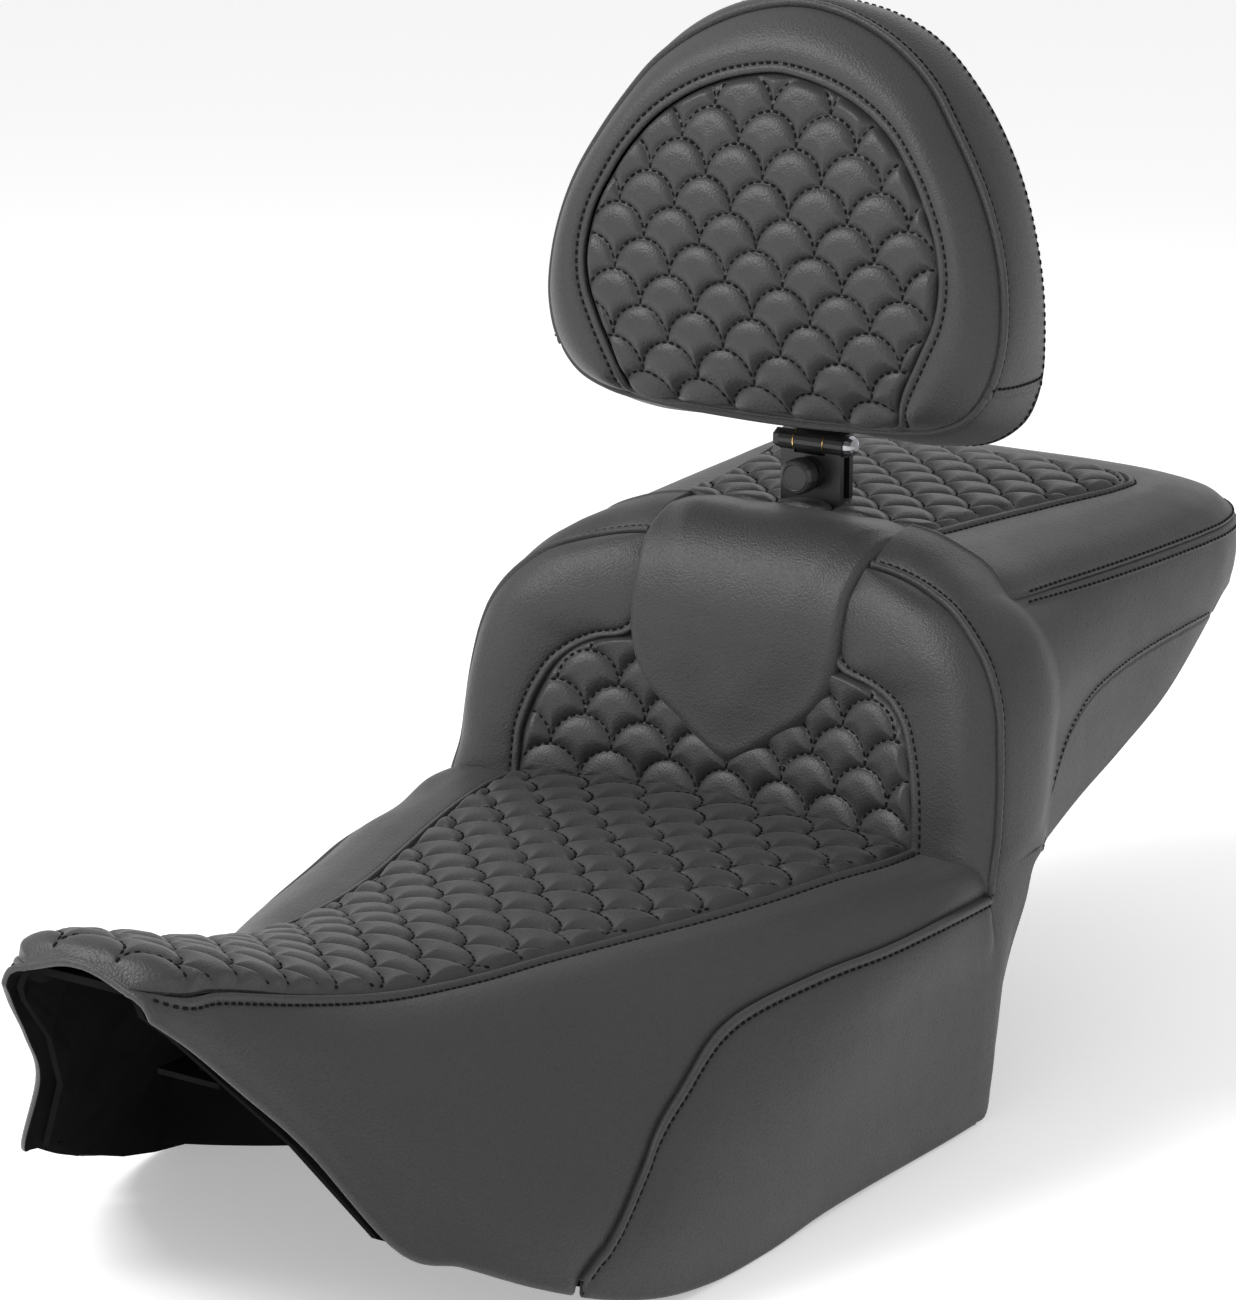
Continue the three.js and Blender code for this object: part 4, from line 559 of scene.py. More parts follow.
# ------------------------------------------------------------------ side cover: skirt, shoulder and tail side in one skin
OUTER = [(190.8, -4, -12.6), (190.3, -1.5, -4), (188.5, 6, 14), (187.3, 10, 36), (186, 12.5, 54), (184, 15, 70), (181, 18.5, 87), (176, 21, 101), (168, 24.5, 114), (158, 28, 124.5), (143, 33.5, 136), (124, 41, 143), (107, 47, 147), (92, 49, 150), (78, 47.5, 153)]
sO = arc(np.array(OUTER))
def outer(s): return hermite(sO, np.array(OUTER, float), s)
BN = np.array(BAND, float); sB = arc(BN[:, :2])
tB = np.concatenate([np.linspace(0, 24, 16)[:-1], np.linspace(24, sB[-1], 210)])
BB = hermite(sB, BN, tB); BB[:, 0] = np.maximum(BB[:, 0], 0); BB[:, 2] = np.maximum(BB[:, 2], 0)
tang = unit(np.gradient(BB[:, :2], axis=0)); nrm = np.stack([tang[:, 1], -tang[:, 0]], 1)
if nrm[0, 0] < 0: nrm = -nrm
nrm[-1] = (0, 1)
Q, SEAMD = [], []
TAIL_SEAM = [[76, 5], [89, 25], [98, 40], [108, 51], [124, 61.5], [143, 68.5], [175, 74], [209, 77.2], [262, 80], [337, 79.5]]
for (bx, by, tx, ty, tz, bz), (nx_, ny_) in zip(BB, nrm):
    mid = tz + 0.3 * (bz - tz)
    q = spline([[tx, ty, tz], [tx * .45 + bx * .55, ty * .45 + by * .55, tz * .7 + mid * .3], [tx * .18 + bx * .82, ty * .18 + by * .82, tz * .4 + mid * .6], [bx, by, mid], [bx - 0.6 * nx_, by - 0.6 * ny_, mid * .6 + bz * .4], [bx - 2.4 * nx_, by - 2.4 * ny_, mid * .25 + bz * .75], [bx - 5 * nx_, by - 5 * ny_, bz]], 160)
    zs = float(table(TAIL_SEAM, min(by, 337))[0])
    if by > 330: zs = 79.5
    s = arc(q); k = int(np.argmin(np.abs(q[:, 2] - max(zs, bz)))); SEAMD.append(min(s[k], s[-1] - 0.5)); Q.append(q)
Q, SEAMD = np.array(Q), np.array(SEAMD)
C_AT = np.array([-9, -6, -4, -2.8, -1.9, -1.2, -0.6, 0, 0.6, 1.2, 1.9, 2.8, 4, 6, 9], float)
rowsB, dT, dS, dB = [], [], [], []
for q, sd in zip(Q, SEAMD):
    s = arc(q); L = s[-1]; lo = L - sd; ku = min(1, 0.8 * lo / 17.0)
    up = C_AT[C_AT < 0]; dn = C_AT[C_AT > 0] * ku
    t = np.concatenate([CORD_AT, np.linspace(CORD_AT[-1], sd + up[0], 22)[1:-1], sd + up, [sd], sd + dn, np.linspace(sd + dn[-1], L - 8 * ku * 0.9, 14)[1:-1], L - np.array([8, 5.5, 3.5, 2, 1, 0.4, 0]) * ku * 0.9])
    rowsB.append(np.stack([np.interp(t, s, q[:, c]) for c in range(3)], 1)); dT.append(t); dS.append(t - sd); dB.append(L - t)
PB, dT, dS, dB = np.array(rowsB), np.array(dT), np.array(dS), np.array(dB)
q0 = Q[0]; z0 = q0[:, 2]; s0 = arc(q0)
def tail_at(z): return np.array([np.interp(z, z0[::-1], q0[::-1, c]) for c in range(3)])
def tail_s(z): return float(np.interp(z, z0[::-1], s0[::-1]))
k4 = int(np.searchsorted(tB, 14.0)); q4 = Q[k4]
def tail4_at(z): return np.array([np.interp(z, q4[::-1, 2], q4[::-1, c]) for c in range(3)])
NC = 61
CR, far = [], []
for y in np.linspace(-374, -4, 38):
    u1 = min(float(table(SKIRT_SEAM, y)[0]), 6.92)
    q = at_u(y, np.linspace(u1, 7.0, 90)); CR.append(resamp_n(np.stack([q[:, 0], 0 * q[:, 0] + y, q[:, 1]], 1), NC)); far.append("bottom")
for pts in (
    [(190.8, -3.95, -12.0), (191.4, 0.5, -42), (190.6, 3, -78), (188.2, 6, -116), (185, 8, -152)],
    [(190.8, -3.8, -11.3), (191.6, 4, -36), (190.8, 9, -68), (188, 13, -98), (185.5, 15, -125)],
    [(190.8, -3.5, -10.4), (191.8, 6, -26), (191.2, 14, -48), (189, 18.5, -67), (186.2, 21, -83)],
    [(190.7, -3.1, -9.2), (191.8, 8, -18), (191.5, 17, -31), (190.2, 24, -44), (188.5, 28, -55)],
    [(190.6, -2.6, -7.7), (191.8, 11, -11), (191.7, 23, -16), (191, 34, -22), (190, 42, -28)],
    [(190.4, -2.0, -5.6), (191.8, 14, -5), (191.4, 28, -4.5), (190.6, 41, -4.5), (189.9, 49, -6), (189.4, 52, -9)],
    [(190.3, -1.2, -3.0), (191.8, 17, -2.0), (191.2, 33, -1.6), (189.8, 49, -0.9), (188.5, 59.5, -1.4), (187.5, 64.5, -4.2)]):
    CR.append(spline(pts, NC)); far.append("rear")
def strip_row(pts, z3):
    e, e4 = tail_at(z3), tail4_at(max(z3, q4[-1, 2]))
    q = spline([*pts, e, e4], 400); k = int(np.argmin(np.linalg.norm(q - e, axis=1))); return resamp_n(np.vstack([q[:k], e]), NC)
TAILZ = [float(z0[-1]), 10, 30, 60, 92, 113, float(z0[0])]
for a, z3 in zip((
    [(190, 0.2, 0.8), (191.8, 20, 1.2), (189.8, 47, 0.9), (186.6, 66, -0.9)],
    [(189.3, 3.4, 8.5), (191.8, 26, 8), (189.2, 56, 8)],
    [(188.3, 7, 20), (191.2, 33, 21), (189.2, 61, 25)],
    [(186.2, 12.3, 52), (190.2, 40, 53), (189.3, 66, 56)],
    [(180.8, 18.8, 88), (186, 45.5, 90), (187, 69, 91)],
    [(168, 24.5, 114), (174.5, 50, 118), (177.3, 71, 117)],
    [(143, 33.5, 136), (148, 56, 142.5), (151, 73, 141)]), TAILZ):
    CR.append(strip_row(a, z3)); far.append("tail")
for pts in ([(124, 41, 143), (130, 57, 150), (133, 74, 151.5), (134, 91.5, 152.2)], [(107, 47, 147), (111, 61, 155), (112, 77, 159.5), (113, 93, 161.8)], [(92, 49, 150), (94, 61, 158.5), (95, 77, 164), (95, 95, 166.8)], [(78, 47.5, 153), (78, 61, 160.5), (78, 78, 166.5), (78, 96, 169)]):
    CR.append(spline(pts, NC)); far.append("collar")
CR = np.array(CR)
rr = np.concatenate([[0], np.cumsum(np.linalg.norm(np.diff(CR, axis=0), axis=2).mean(1))])
i_y4 = max(i for i, k in enumerate(far) if k == "bottom"); i_t0 = far.index("tail"); i_t1 = max(i for i, k in enumerate(far) if k == "tail")
tail_r = np.interp(PB[0][:, 2][::-1] * 0 + dT[0][::-1], [tail_s(z) for z in TAILZ][::-1], rr[i_t0:i_t1 + 1][::-1])
r_all = np.concatenate([np.linspace(0, rr[i_y4], 110), np.linspace(rr[i_y4], rr[i_t0], 60)[1:-1], tail_r, np.linspace(rr[i_t1], rr[-1], 36)[1:]])
n_free = 110 + 58
RW = hermite(rr, CR.reshape(len(CR), -1), r_all).reshape(-1, NC, 3)
seg = (r_all > rr[i_t0 - 1]) & (r_all < rr[i_t0]); w_ = ((r_all[seg] - rr[i_t0 - 1]) / (rr[i_t0] - rr[i_t0 - 1]))[:, None, None]
RW[seg] = CR[i_t0 - 1] * (1 - w_) + CR[i_t0] * w_  # straight between these two rows, so that the cover does not fold over
cc = np.linspace(0, 1, NC)
ti = np.arange(n_free, n_free + len(tail_r))
RW[ti] += (PB[0][::-1] - RW[ti, -1])[:, None] * (cc**2)[None, :, None]
seam_line = np.vstack([[(*[at_u(y, [min(float(table(SKIRT_SEAM, y)[0]), 6.92)])[0][0], y, at_u(y, [min(float(table(SKIRT_SEAM, y)[0]), 6.92)])[0][1]],) for y in np.linspace(-374, -4, 240)], outer(np.linspace(0.3, sO[-1], 300))])
d2 = ((RW[:, None, 0] - seam_line[None]) ** 2).sum(2); near = np.maximum.accumulate(d2.argmin(1))
RW += (seam_line[near] - RW[:, 0])[:, None] * ((1 - cc) ** 2)[None, :, None]
P, dl, dh = resample(RW, CORD_AT, EDGE_AT[:7], 34)
kind_of = np.array(["free"] * n_free + ["tail"] * len(tail_r) + ["collar"] * 35)
N0 = normals(P, (0, -60, 20))
w_ = slice(n_free - 26, n_free + 2); N0[w_, -9:] = N0[w_, -10:-9]  # rows run along the edge here, so the normal is taken further in
NB0 = normals(PB, (0, 150, 60))
def to_line(pts, P):
    L = np.array(pts, float); best = np.full(P.shape[:-1], 1e9)
    for a, b in zip(L[:-1], L[1:]):
        ab = b - a; t = np.clip(((P - a) @ ab) / (ab @ ab), 0, 1); best = np.minimum(best, np.linalg.norm(P - (a + t[..., None] * ab), axis=-1))
    return best
LOWSEAM = spline([tail_at(26.5), (183.5, 81, 17), (185.5, 74, 6), (187.3, 66, -5)], 14)
dls = to_line(LOWSEAM, P)
low = -0.9 * np.exp(-(dls / 1.1) ** 2)
collar = (kind_of == "collar")[:, None] * 1.0
h = cord(dl) * smoothstep(dl + dh, 3, 12) + low + 0.9 * collar * np.exp(-((dh - 1.5) / 1.3) ** 2) + 1.0 * smoothstep(dl, 8, 30) * smoothstep(dh, 0, 25) * (1 - smoothstep(r_all, rr[i_t0] - 60, rr[i_t0] - 2) + smoothstep(r_all, rr[i_t1] + 2, rr[i_t1] + 20))[:, None]
grow = smoothstep(tB, 0, 14)[:, None]
def flat_band(d): return 0.75 * smoothstep(d, 0.1, 1.2) * (1 - smoothstep(d, 5.2, 7.0)) - 0.1 * np.exp(-(d / 0.5) ** 2)
hB = flat_band(dT) * grow - 0.9 * np.exp(-(dS / 1.0) ** 2) * np.where(dS[:, :1] < 0, 1, 1) + 0.55 * grow * np.exp(-((dS + 2.6) / 1.7) ** 2)
D = P + N0 * h[..., None]; DB = PB + NB0 * hB[..., None]
w0 = (D[ti, -1] + DB[0][::-1]) / 2; D[ti, -1] = w0; DB[0] = w0[::-1]
N1 = normals(D, (0, -60, 20)); N1[w_, -9:] = N1[w_, -10:-9]; NB1 = normals(DB, (0, 150, 60))
nw = unit(N1[ti, -1] + NB1[0][::-1]); N1[ti, -1] = nw; NB1[0] = nw[::-1]
sk = Skin(); idx = sk.points(D, N1); sk.quads(idx)
ib = sk.points(DB[1:], NB1[1:]); ib = np.vstack([idx[ti, -1][::-1][None], ib]); sk.quads(ib)
E, n, T = edge_frame(P, D, N0, "b0"); sk.rim(idx[:, 0], E, n, T, "tuck")
E, n, T = edge_frame(P, D, N0, "b1")
kb = 110
n2, T2 = unit(averaged(n, 9)), unit(averaged(T, 9)); T2 = unit(T2 - n2 * (T2 * n2).sum(1, keepdims=True))
n2[:kb] = n[:kb]
d = unit(np.gradient(averaged(E[:n_free + 4], 2), axis=0)); C = np.cross(d, n2[:n_free + 4]); C *= np.sign((C * T[:n_free + 4]).sum(1)[:kb].mean())
T2[:n_free + 4] = unit(averaged(C, 2))  # square to the edge, also where the rows run along it
sk.rim(idx[:kb + 1, -1], E[:kb + 1], n2[:kb + 1], T2[:kb + 1], "hem", 2.4)
sk.rim(idx[kb:n_free + 1, -1], E[kb:n_free + 1], n2[kb:n_free + 1], T2[kb:n_free + 1], "tuck")
kc = n_free + len(tail_r) - 1
sk.rim(idx[kc:, -1], E[kc:], n[kc:], T[kc:], "hem", 1.2)
E, n, T = edge_frame(P, D, N0, "a1"); sk.rim(idx[-1], E, n, T, "tuck")
E, n, T = edge_frame(PB, DB, NB0, "b0"); sk.rim(ib[:, 0], E, n, T, "tuck")
E, n, T = edge_frame(PB, DB, NB0, "b1"); sk.rim(ib[:, -1], E, n, T, "hem", 2.2)
sk.make("side_cover_{}", M["skirt"], "seat", ["skirt_{}", "passenger_side_cover_{}"], "leather_skirt", 1.5, mirror=True)
c, cn = column_at(D, N1, dl, STITCH_D); k = (dl + dh)[:, 0] > 12; ST.line("side_seam", c[k], cn[k], mirror=True)
g = tB > 7
c, cn = column_at(DB[g], NB1[g], dT[g], 4.9); ST.line("passenger_seam", c, cn, mirror=True)
g = (SEAMD < np.array([arc(q)[-1] for q in Q]) - 6)
c, cn = column_at(DB[g], NB1[g], dS[g], -3.6); ST.line("lower_seam", c, cn, mirror=True, pitch=4.4)

# ------------------------------------------------------------------ lumbar block
LP = np.array(LUMBAR, float); LS = arc(LP)
def face(x, v):
    """Lumbar face: x across, v the length up the centre profile."""
    shp = np.broadcast(x, v).shape
    X, Vv = np.broadcast_to(x, shp).ravel(), np.broadcast_to(v, shp).ravel()
    q = hermite(LS, LP, np.clip(Vv, 0, LS[-1]))
    z = q[:, 1]
    gg = np.interp(z, [0, 100, 135, 160], [1, 1, 0.8, 0.2])
    y = q[:, 0] - 18 * (np.minimum(np.abs(X), 186) / 138) ** 2 * gg
    drop = np.interp(np.abs(X), [0, 80, 100, 120, 140, 160], [0, 0, 3, 8, 15, 26]) * smoothstep(z, 90, 163)
    return np.stack([X, y, z - drop + np.minimum(Vv, 0)], 1).reshape(*shp, 3)
vz = hermite(LS, LP, np.linspace(0, LS[-1], 400))
def v_of_z(z): return float(np.interp(z, np.maximum.accumulate(vz[:, 1]), np.linspace(0, LS[-1], 400)))
arch = [[0, 96.5], [40, 96.3], [76, 94.5], [93, 91], [108, 84], [120, 74], [128, 61], [133, 48], [136.5, 34], [138, 18], [138.5, 2], [138.5, -4], [120, -5], [60, -5], [0, -5]]
archv = [[x, v_of_z(max(z, 2.5)) + min(0, z - 2.5)] for x, z in arch]
E0 = [0, 0.5, 1.1, 1.8, 2.8, 4.0]
fine = 1.0
P2, de = polar(mirror_outline(archv), (0, 45), E0, int(86 * fine), int(460 * fine))
LUM_S0, LUM_T0 = 0.0, 2.0
P = face(P2[..., 0], P2[..., 1])
dq = scale_field(P2[..., 0] - LUM_S0, P2[..., 1] - LUM_T0)
h = quilt_height(dq) * smoothstep(de, 0.3, 6) + 1.0 * smoothstep(de, 0, 5) - 1.4 * np.exp(-de / 0.9)
_, _, tree = polar_panel("lumbar_quilt", P, h, (0, -1, 0.1, 0), M["quilt"], "seat", ["lumbar_quilt_panel"], "leather_quilt")
a = arc_stitches(-140, 140, -5, 110)
s_, t_ = a[:, 0] + LUM_S0, a[:, 1] + LUM_T0
def within(px, py, outline, centre, gap):
    O = spline(outline, 400, closed=True) - np.array(centre, float)
    th = np.arctan2(O[:, 1], O[:, 0]); o = np.argsort(th); r = np.linalg.norm(O, axis=1)
    return np.hypot(px - centre[0], py - centre[1]) < np.interp(np.arctan2(py - centre[1], px - centre[0]), th[o], r[o], period=2 * math.pi) - gap
ok = within(s_, t_, mirror_outline(archv), (0, 45), 3.0) & (t_ > 3); s_, t_, a = s_[ok], t_[ok], a[ok]
p, t, n = frame_at(face, s_, t_, a[:, 2], a[:, 3]); n = np.where(n[:, 1:2] > 0, -n, n)
ST.onto("lumbar", tree, p, t, n)

# bolsters, lofted between the arch and the outer seam
INNER = [(138, -8, -7), (138.5, -3, 2), (138, -0.8, 18), (136.5, 1, 34), (133, 5, 48), (128, 9.5, 61), (120, 15, 74), (108, 20, 84), (93, 21.5, 91), (76, 23, 95), (67, 25.5, 104), (65, 28, 118), (66, 32, 132), (68, 40, 143), (71, 46, 150)]
BULGE = [4, 9, 13, 15, 16, 16, 16, 15.5, 15, 14, 12.5, 11, 9, 6, 2]
ta = np.linspace(0, 1, 120) * sO[-1]
Ic = hermite(sO, np.array(INNER, float), ta); Oc = outer(ta); Bc = hermite(sO, np.array(BULGE, float), ta)
bb = np.linspace(0, 1, 90)
G = Ic[:, None] * (1 - bb)[None, :, None] + Oc[:, None] * bb[None, :, None]
Nn = unit(normals(G, (0, -1, 0.3, 0)) + np.array([0.0, -0.15, 0.15]))
G = G + Nn * (Bc[:, None] * ((1 - (1 - bb) ** 2.2) * (1 - bb**5))[None, :])[..., None]
P, dl, dh = resample(G, CORD_AT, EDGE_AT, 26)
vis = 1 - smoothstep(ta, 160, 190)[:, None]
h = cord(dl) * vis + tucked(dh, 1.4, 1.4)
D, N = panel("bolster_{}", P, h, (0, -1, 0.3, 0), M["smooth"], "seat", ["bolster_cover_{}"], "leather_smooth", {"b0": "tuck", "b1": "tuck", "a0": "tuck", "a1": "tuck"}, mirror=True)
c, cn = column_at(D, N, dl, STITCH_D); k = ta < 168; ST.line("lumbar_seam", c[k], cn[k], mirror=True)

# ------------------------------------------------------------------ passenger part
nP = 300
half = np.vstack([BN[:, 2:4]]); half[:, 0] = np.maximum(half[:, 0], 0)
halfq = np.array(PASS_QUILT, float)
# lead both outlines in under the collar
half = np.vstack([[half[0] + [-3, -9]], half]); halfq = np.vstack([[halfq[0] + [-3, -9]], halfq])
S = spline(np.vstack([half, (half[:-1] * [-1, 1])[::-1]]), nP); Qo = spline(np.vstack([halfq, (halfq[:-1] * [-1, 1])[::-1]]), nP)
prof = [(1, 135.0), (0.95, 139.6), (0.87, 144.6), (0.75, 149.2), (0.62, 153.2), (0.45, 157.4), (0.3, 160.3), (0.15, 162.4), (0, 163.6)]
pf = np.array(prof)[::-1]; fz = np.linspace(0, 1, 70); zz = hermite(pf[:, 0], pf[:, 1], fz)
G = Qo[:, None] * (1 - fz)[None, :, None] + S[:, None] * fz[None, :, None]
G = np.concatenate([G, np.broadcast_to(zz[None, :, None], (nP, 70, 1))], 2)
P, dl, dh = resample(G, CORD_AT, EDGE_AT, 24)
h = cord(dl) + 0.75 * smoothstep(dh, 0.1, 1.2) * (1 - smoothstep(dh, 3.4, 5.2)) - 0.1 * np.exp(-(dh / 0.5) ** 2) + 1.4 * smoothstep(dl, 8, 30) * smoothstep(dh, 5, 25)
D, N = panel("passenger_border", P, h, (0, 0, 1, 0), M["smooth"], "seat", ["passenger_top_cover", "passenger_foam"], "leather_smooth", {"b0": "tuck", "b1": "tuck", "a0": "tuck", "a1": "tuck"})
c, cn = column_at(D, N, dl, STITCH_D); ST.line("passenger_quilt_seam", c, cn)
c, cn = column_at(D, N, dh, 2.4); ST.line("passenger_seam", c[8:-8], cn[8:-8])
def pass_top(x, y):
    shp = np.broadcast(x, y).shape
    X, Y = np.broadcast_to(x, shp), np.broadcast_to(y, shp)
    w = np.interp(Y, [99, 150, 210, 270, 311], [83, 93, 106, 119, 119])
    return np.stack([X, Y, 163.6 + 3.8 * np.clip(1 - (X / w) ** 2, 0, 1) * smoothstep(312 - Y, 0, 60)], -1)
outl = [[0, 93], [60, 93], [82, 96], [93, 150], [106, 210], [117.5, 262], [119.5, 280], [116, 294], [104, 304], [80, 309], [0, 311]]
P2, de = polar(mirror_outline(outl), (0, 205), E0, int(92 * fine), int(540 * fine))
PAS_S0, PAS_T0 = 0.0, 96.0
P = pass_top(P2[..., 0], P2[..., 1])
dq = scale_field(P2[..., 0] - PAS_S0, P2[..., 1] - PAS_T0)
h = quilt_height(dq) * smoothstep(de, 0.3, 6) + 1.0 * smoothstep(de, 0, 5) - 1.4 * np.exp(-de / 0.9)
_, _, tree = polar_panel("passenger_quilt", P, h, (0, 0, 1, 0), M["quilt"], "seat", ["passenger_quilt_panel"], "leather_quilt")
a = arc_stitches(-130, 130, -5, 220)
s_, t_ = a[:, 0] + PAS_S0, a[:, 1] + PAS_T0
ok = within(s_, t_, mirror_outline(outl), (0, 205), 3.0); s_, t_, a = s_[ok], t_[ok], a[ok]
p, t, n = frame_at(pass_top, s_, t_, a[:, 2], a[:, 3])
ST.onto("passenger", tree, p, t, n)

# ------------------------------------------------------------------ centre flap
LE = LS[-1]
flap_half = [[0, v_of_z(30)]] + [[x, v_of_z(z)] for x, z in FLAP[1:]] + [[79.5, v_of_z(160)], [82, LE - 22], [83.5, LE - 12], [80, LE - 4], [60, LE - 1.5], [30, LE - 0.5], [0, LE]]
P2, de = polar(mirror_outline(flap_half), (0, 105), [0, 0.4, 1.0, 1.8, 2.8, 4.2, 6, 8], 40, 320)
P = face(P2[..., 0], P2[..., 1])
edge_ = np.sqrt(np.clip(1 - (1 - np.clip(de / 6.5, 0, 1)) ** 2, 0, 1))
wing = 1 - 0.55 * smoothstep(np.abs(P2[..., 0]), 50, 84) * smoothstep(P2[..., 1], LE - 60, LE - 10)
h = (7.2 * edge_ * wing + 3.6 * smoothstep(de, 2, 45)) * np.interp(P2[..., 1], [LE - 34, LE - 4], [1.0, 0.62]) * np.interp(P2[..., 1], [30, 60], [0.85, 1.0]) + 0.6
polar_panel("centre_flap_cover", P, h, (0, -1, 0.8, 0), M["smooth"], "seat", ["centre_flap", "lumbar_foam"], "leather_smooth", tuck=5.0)

# ------------------------------------------------------------------ backrest
padO = mirror_outline(PAD); quiltO = mirror_outline(PAD_QUILT)
PAD_REAR = [[0, 470], [26, 468.5], [52, 464], [79, 452], [108, 424], [131, 387], [146, 342], [152, 305], [153, 284], [152.5, 264], [149, 249], [143, 237], [133, 227.5], [119, 220], [104, 217], [80, 218], [50, 222], [30, 225], [0, 225.5]]
rearO = mirror_outline(PAD_REAR)
def front_y(z): return table(PAD_FRONT_Y, z)
def seam_y(z): return table(PAD_SEAM_Y, z)
def pad_face(x, z):
    shp = np.broadcast(x, z).shape
    X, Z = np.broadcast_to(x, shp).ravel(), np.broadcast_to(z, shp).ravel()
    y = front_y(Z) - 3.5 * np.clip(1 - (X / 130) ** 2, 0, 1) * smoothstep(Z, 228, 262)
    return np.stack([X, y, Z], 1).reshape(*shp, 3)
P2, de = polar(quiltO, (0, 325), E0, int(84 * fine), int(520 * fine))
BK_S0, BK_T0 = 0.0, 232.0
P = pad_face(P2[..., 0], P2[..., 1])
dq = scale_field(P2[..., 0] - BK_S0, P2[..., 1] - BK_T0)
h = quilt_height(dq) * smoothstep(de, 0.3, 6) + 1.0 * smoothstep(de, 0, 5) - 1.4 * np.exp(-de / 0.9)
_, _, tree = polar_panel("backrest_quilt", P, h, (0, -1, 0, 0), M["quilt"], "backrest", ["backrest_quilt_panel", "backrest_foam"], "leather_quilt")
a = arc_stitches(-130, 130, -5, 205)
s_, t_ = a[:, 0] + BK_S0, a[:, 1] + BK_T0
ok = within(s_, t_, quiltO, (0, 325), 3.0); s_, t_, a = s_[ok], t_[ok], a[ok]
p, t, n = frame_at(pad_face, s_, t_, a[:, 2], a[:, 3]); n = np.where(n[:, 1:2] > 0, -n, n)
ST.onto("backrest", tree, p, t, n)
nK = 360
cz = 325.0
def by_angle(outline, n):
    O = spline(outline, 1600, closed=True); th = np.mod(np.arctan2(O[:, 1] - cz, O[:, 0]), 2 * math.pi); o = np.argsort(th)
    want = np.mod(np.linspace(0, 2 * math.pi, n, endpoint=False) + math.pi / 2, 2 * math.pi)
    return np.stack([np.interp(want, th[o], O[o, k], period=2 * math.pi) for k in (0, 1)], 1)
qa, pa, ra = by_angle(quiltO, nK), by_angle(padO, nK), by_angle(rearO, nK)
fr = np.linspace(0, 1, 60)
xz = qa[:, None] * (1 - fr)[None, :, None] + pa[:, None] * fr[None, :, None]
y0 = pad_face(qa[:, 0], qa[:, 1])[:, 1]; y1 = seam_y(pa[:, 1])
low = smoothstep(np.linalg.norm(qa - pa, axis=1), 4, 26)
yy = y0[:, None] * (1 - fr)[None] + y1[:, None] * fr[None] - (9.5 * low[:, None] + 0.5) * (np.sin(math.pi * fr ** 1.05))[None] ** 0.85
G = np.stack([xz[..., 0], yy, xz[..., 1]], 2)
P, dl, dh = resample(G, CORD_AT, EDGE_AT, 24)
P, dl, dh = (np.concatenate([A, A[:1]], 0) for A in (P, dl, dh))
wide = np.clip((dl + dh) / 16, 0, 1)
h = cord(dl) * wide + tucked(dh, 1.4, 1.6) * wide
D, N = panel("backrest_face_ring", P, h, (0, -1, 0, 0), M["smooth"], "backrest", ["backrest_face_cover"], "leather_smooth", {"b0": "tuck", "b1": "tuck"}, loop=True)
c, cn = column_at(D, N, dl, STITCH_D)
lo_i = np.where((dl + dh)[:, 0] > 13)[0]
for q in np.split(lo_i, np.where(np.diff(lo_i) > 1)[0] + 1):
    if len(q) > 4: ST.line("backrest_quilt_seam", c[q], cn[q])
def push(o2, d):
    t = unit(np.roll(o2, -1, 0) - np.roll(o2, 1, 0)); m2 = np.stack([t[:, 1], -t[:, 0]], 1)
    if (m2 * (o2 - [0, cz])).sum() < 0: m2 = -m2
    return o2 + m2 * d
G = []
for w, d in [(0, 0), (0.08, 1.5), (0.2, 3.0), (0.4, 4.2), (0.6, 4.0), (0.8, 2.6), (0.93, 0.8), (1.0, -0.8)]:
    o2 = push(pa * (1 - w) + ra * w, d); G.append(np.stack([o2[:, 0], y1 * (1 - w) + (PAD_BACK_Y + 0.5) * w, o2[:, 1]], 1))
G = np.array([spline(r, 80) for r in np.array(G).transpose(1, 0, 2)])
JZ = 261.0
first, last_ = [i for i in range(nK) if pa[i, 1] <= JZ][0], [i for i in range(nK) if pa[i, 1] <= JZ][-1]
up_order = list(range(last_, nK)) + list(range(0, first + 1)); dn_order = list(range(first, last_ + 1))
for nm, order, node_ in (("backrest_upper_boxing", up_order, "backrest_boxing_upper"), ("backrest_lower_boxing", dn_order, "backrest_boxing_lower")):
    Gp = G[order]
    # extra rows near the join, so that its fold reads
    s = arc(Gp[:, 40]); at = np.unique(np.concatenate([s, [0.4, 0.9, 1.5, 2.2, 3.0, 4.0], s[-1] - np.array([0.4, 0.9, 1.5, 2.2, 3.0, 4.0])]))
    Gp = np.stack([np.stack([np.interp(at, s, Gp[:, j, c]) for c in range(3)], 1) for j in range(80)], 1)
    Pp, a_, b_ = resample(Gp, CORD_AT, EDGE_AT[:6], 18)
    e = np.minimum(at, s[-1] - at)[:, None]
    hh = cord(a_) + tucked(b_, 0.8, 1.2)
    hh = hh + (0.35 + 0.4 * np.exp(-((e - 1.6) / 1.4) ** 2) - 1.0 * np.exp(-((e - 5.2) / 0.9) ** 2) * 0.5 if nm.endswith("upper_boxing") else -0.7 * np.exp(-e / 2.0))
    D, N = panel(nm, Pp, hh, (0, 60, cz), M["smooth"], "backrest", [node_], "leather_smooth", {"b0": "tuck", "b1": "tuck", "a0": "tuck", "a1": "tuck"})
    c, cn = column_at(D, N, a_, STITCH_D); ST.line("backrest_seam", c[2:-2], cn[2:-2])
    c, cn = column_at(D, N, b_, 5.5); ST.line("backrest_seam", c[2:-2], cn[2:-2])
    if nm.endswith("upper_boxing"):
        for ix in (int(np.argmin(np.abs(at - 5.2))), int(np.argmin(np.abs(at - s[-1] + 5.2)))): ST.line("backrest_join", D[ix][4:-3], N[ix][4:-3], pitch=3.8)
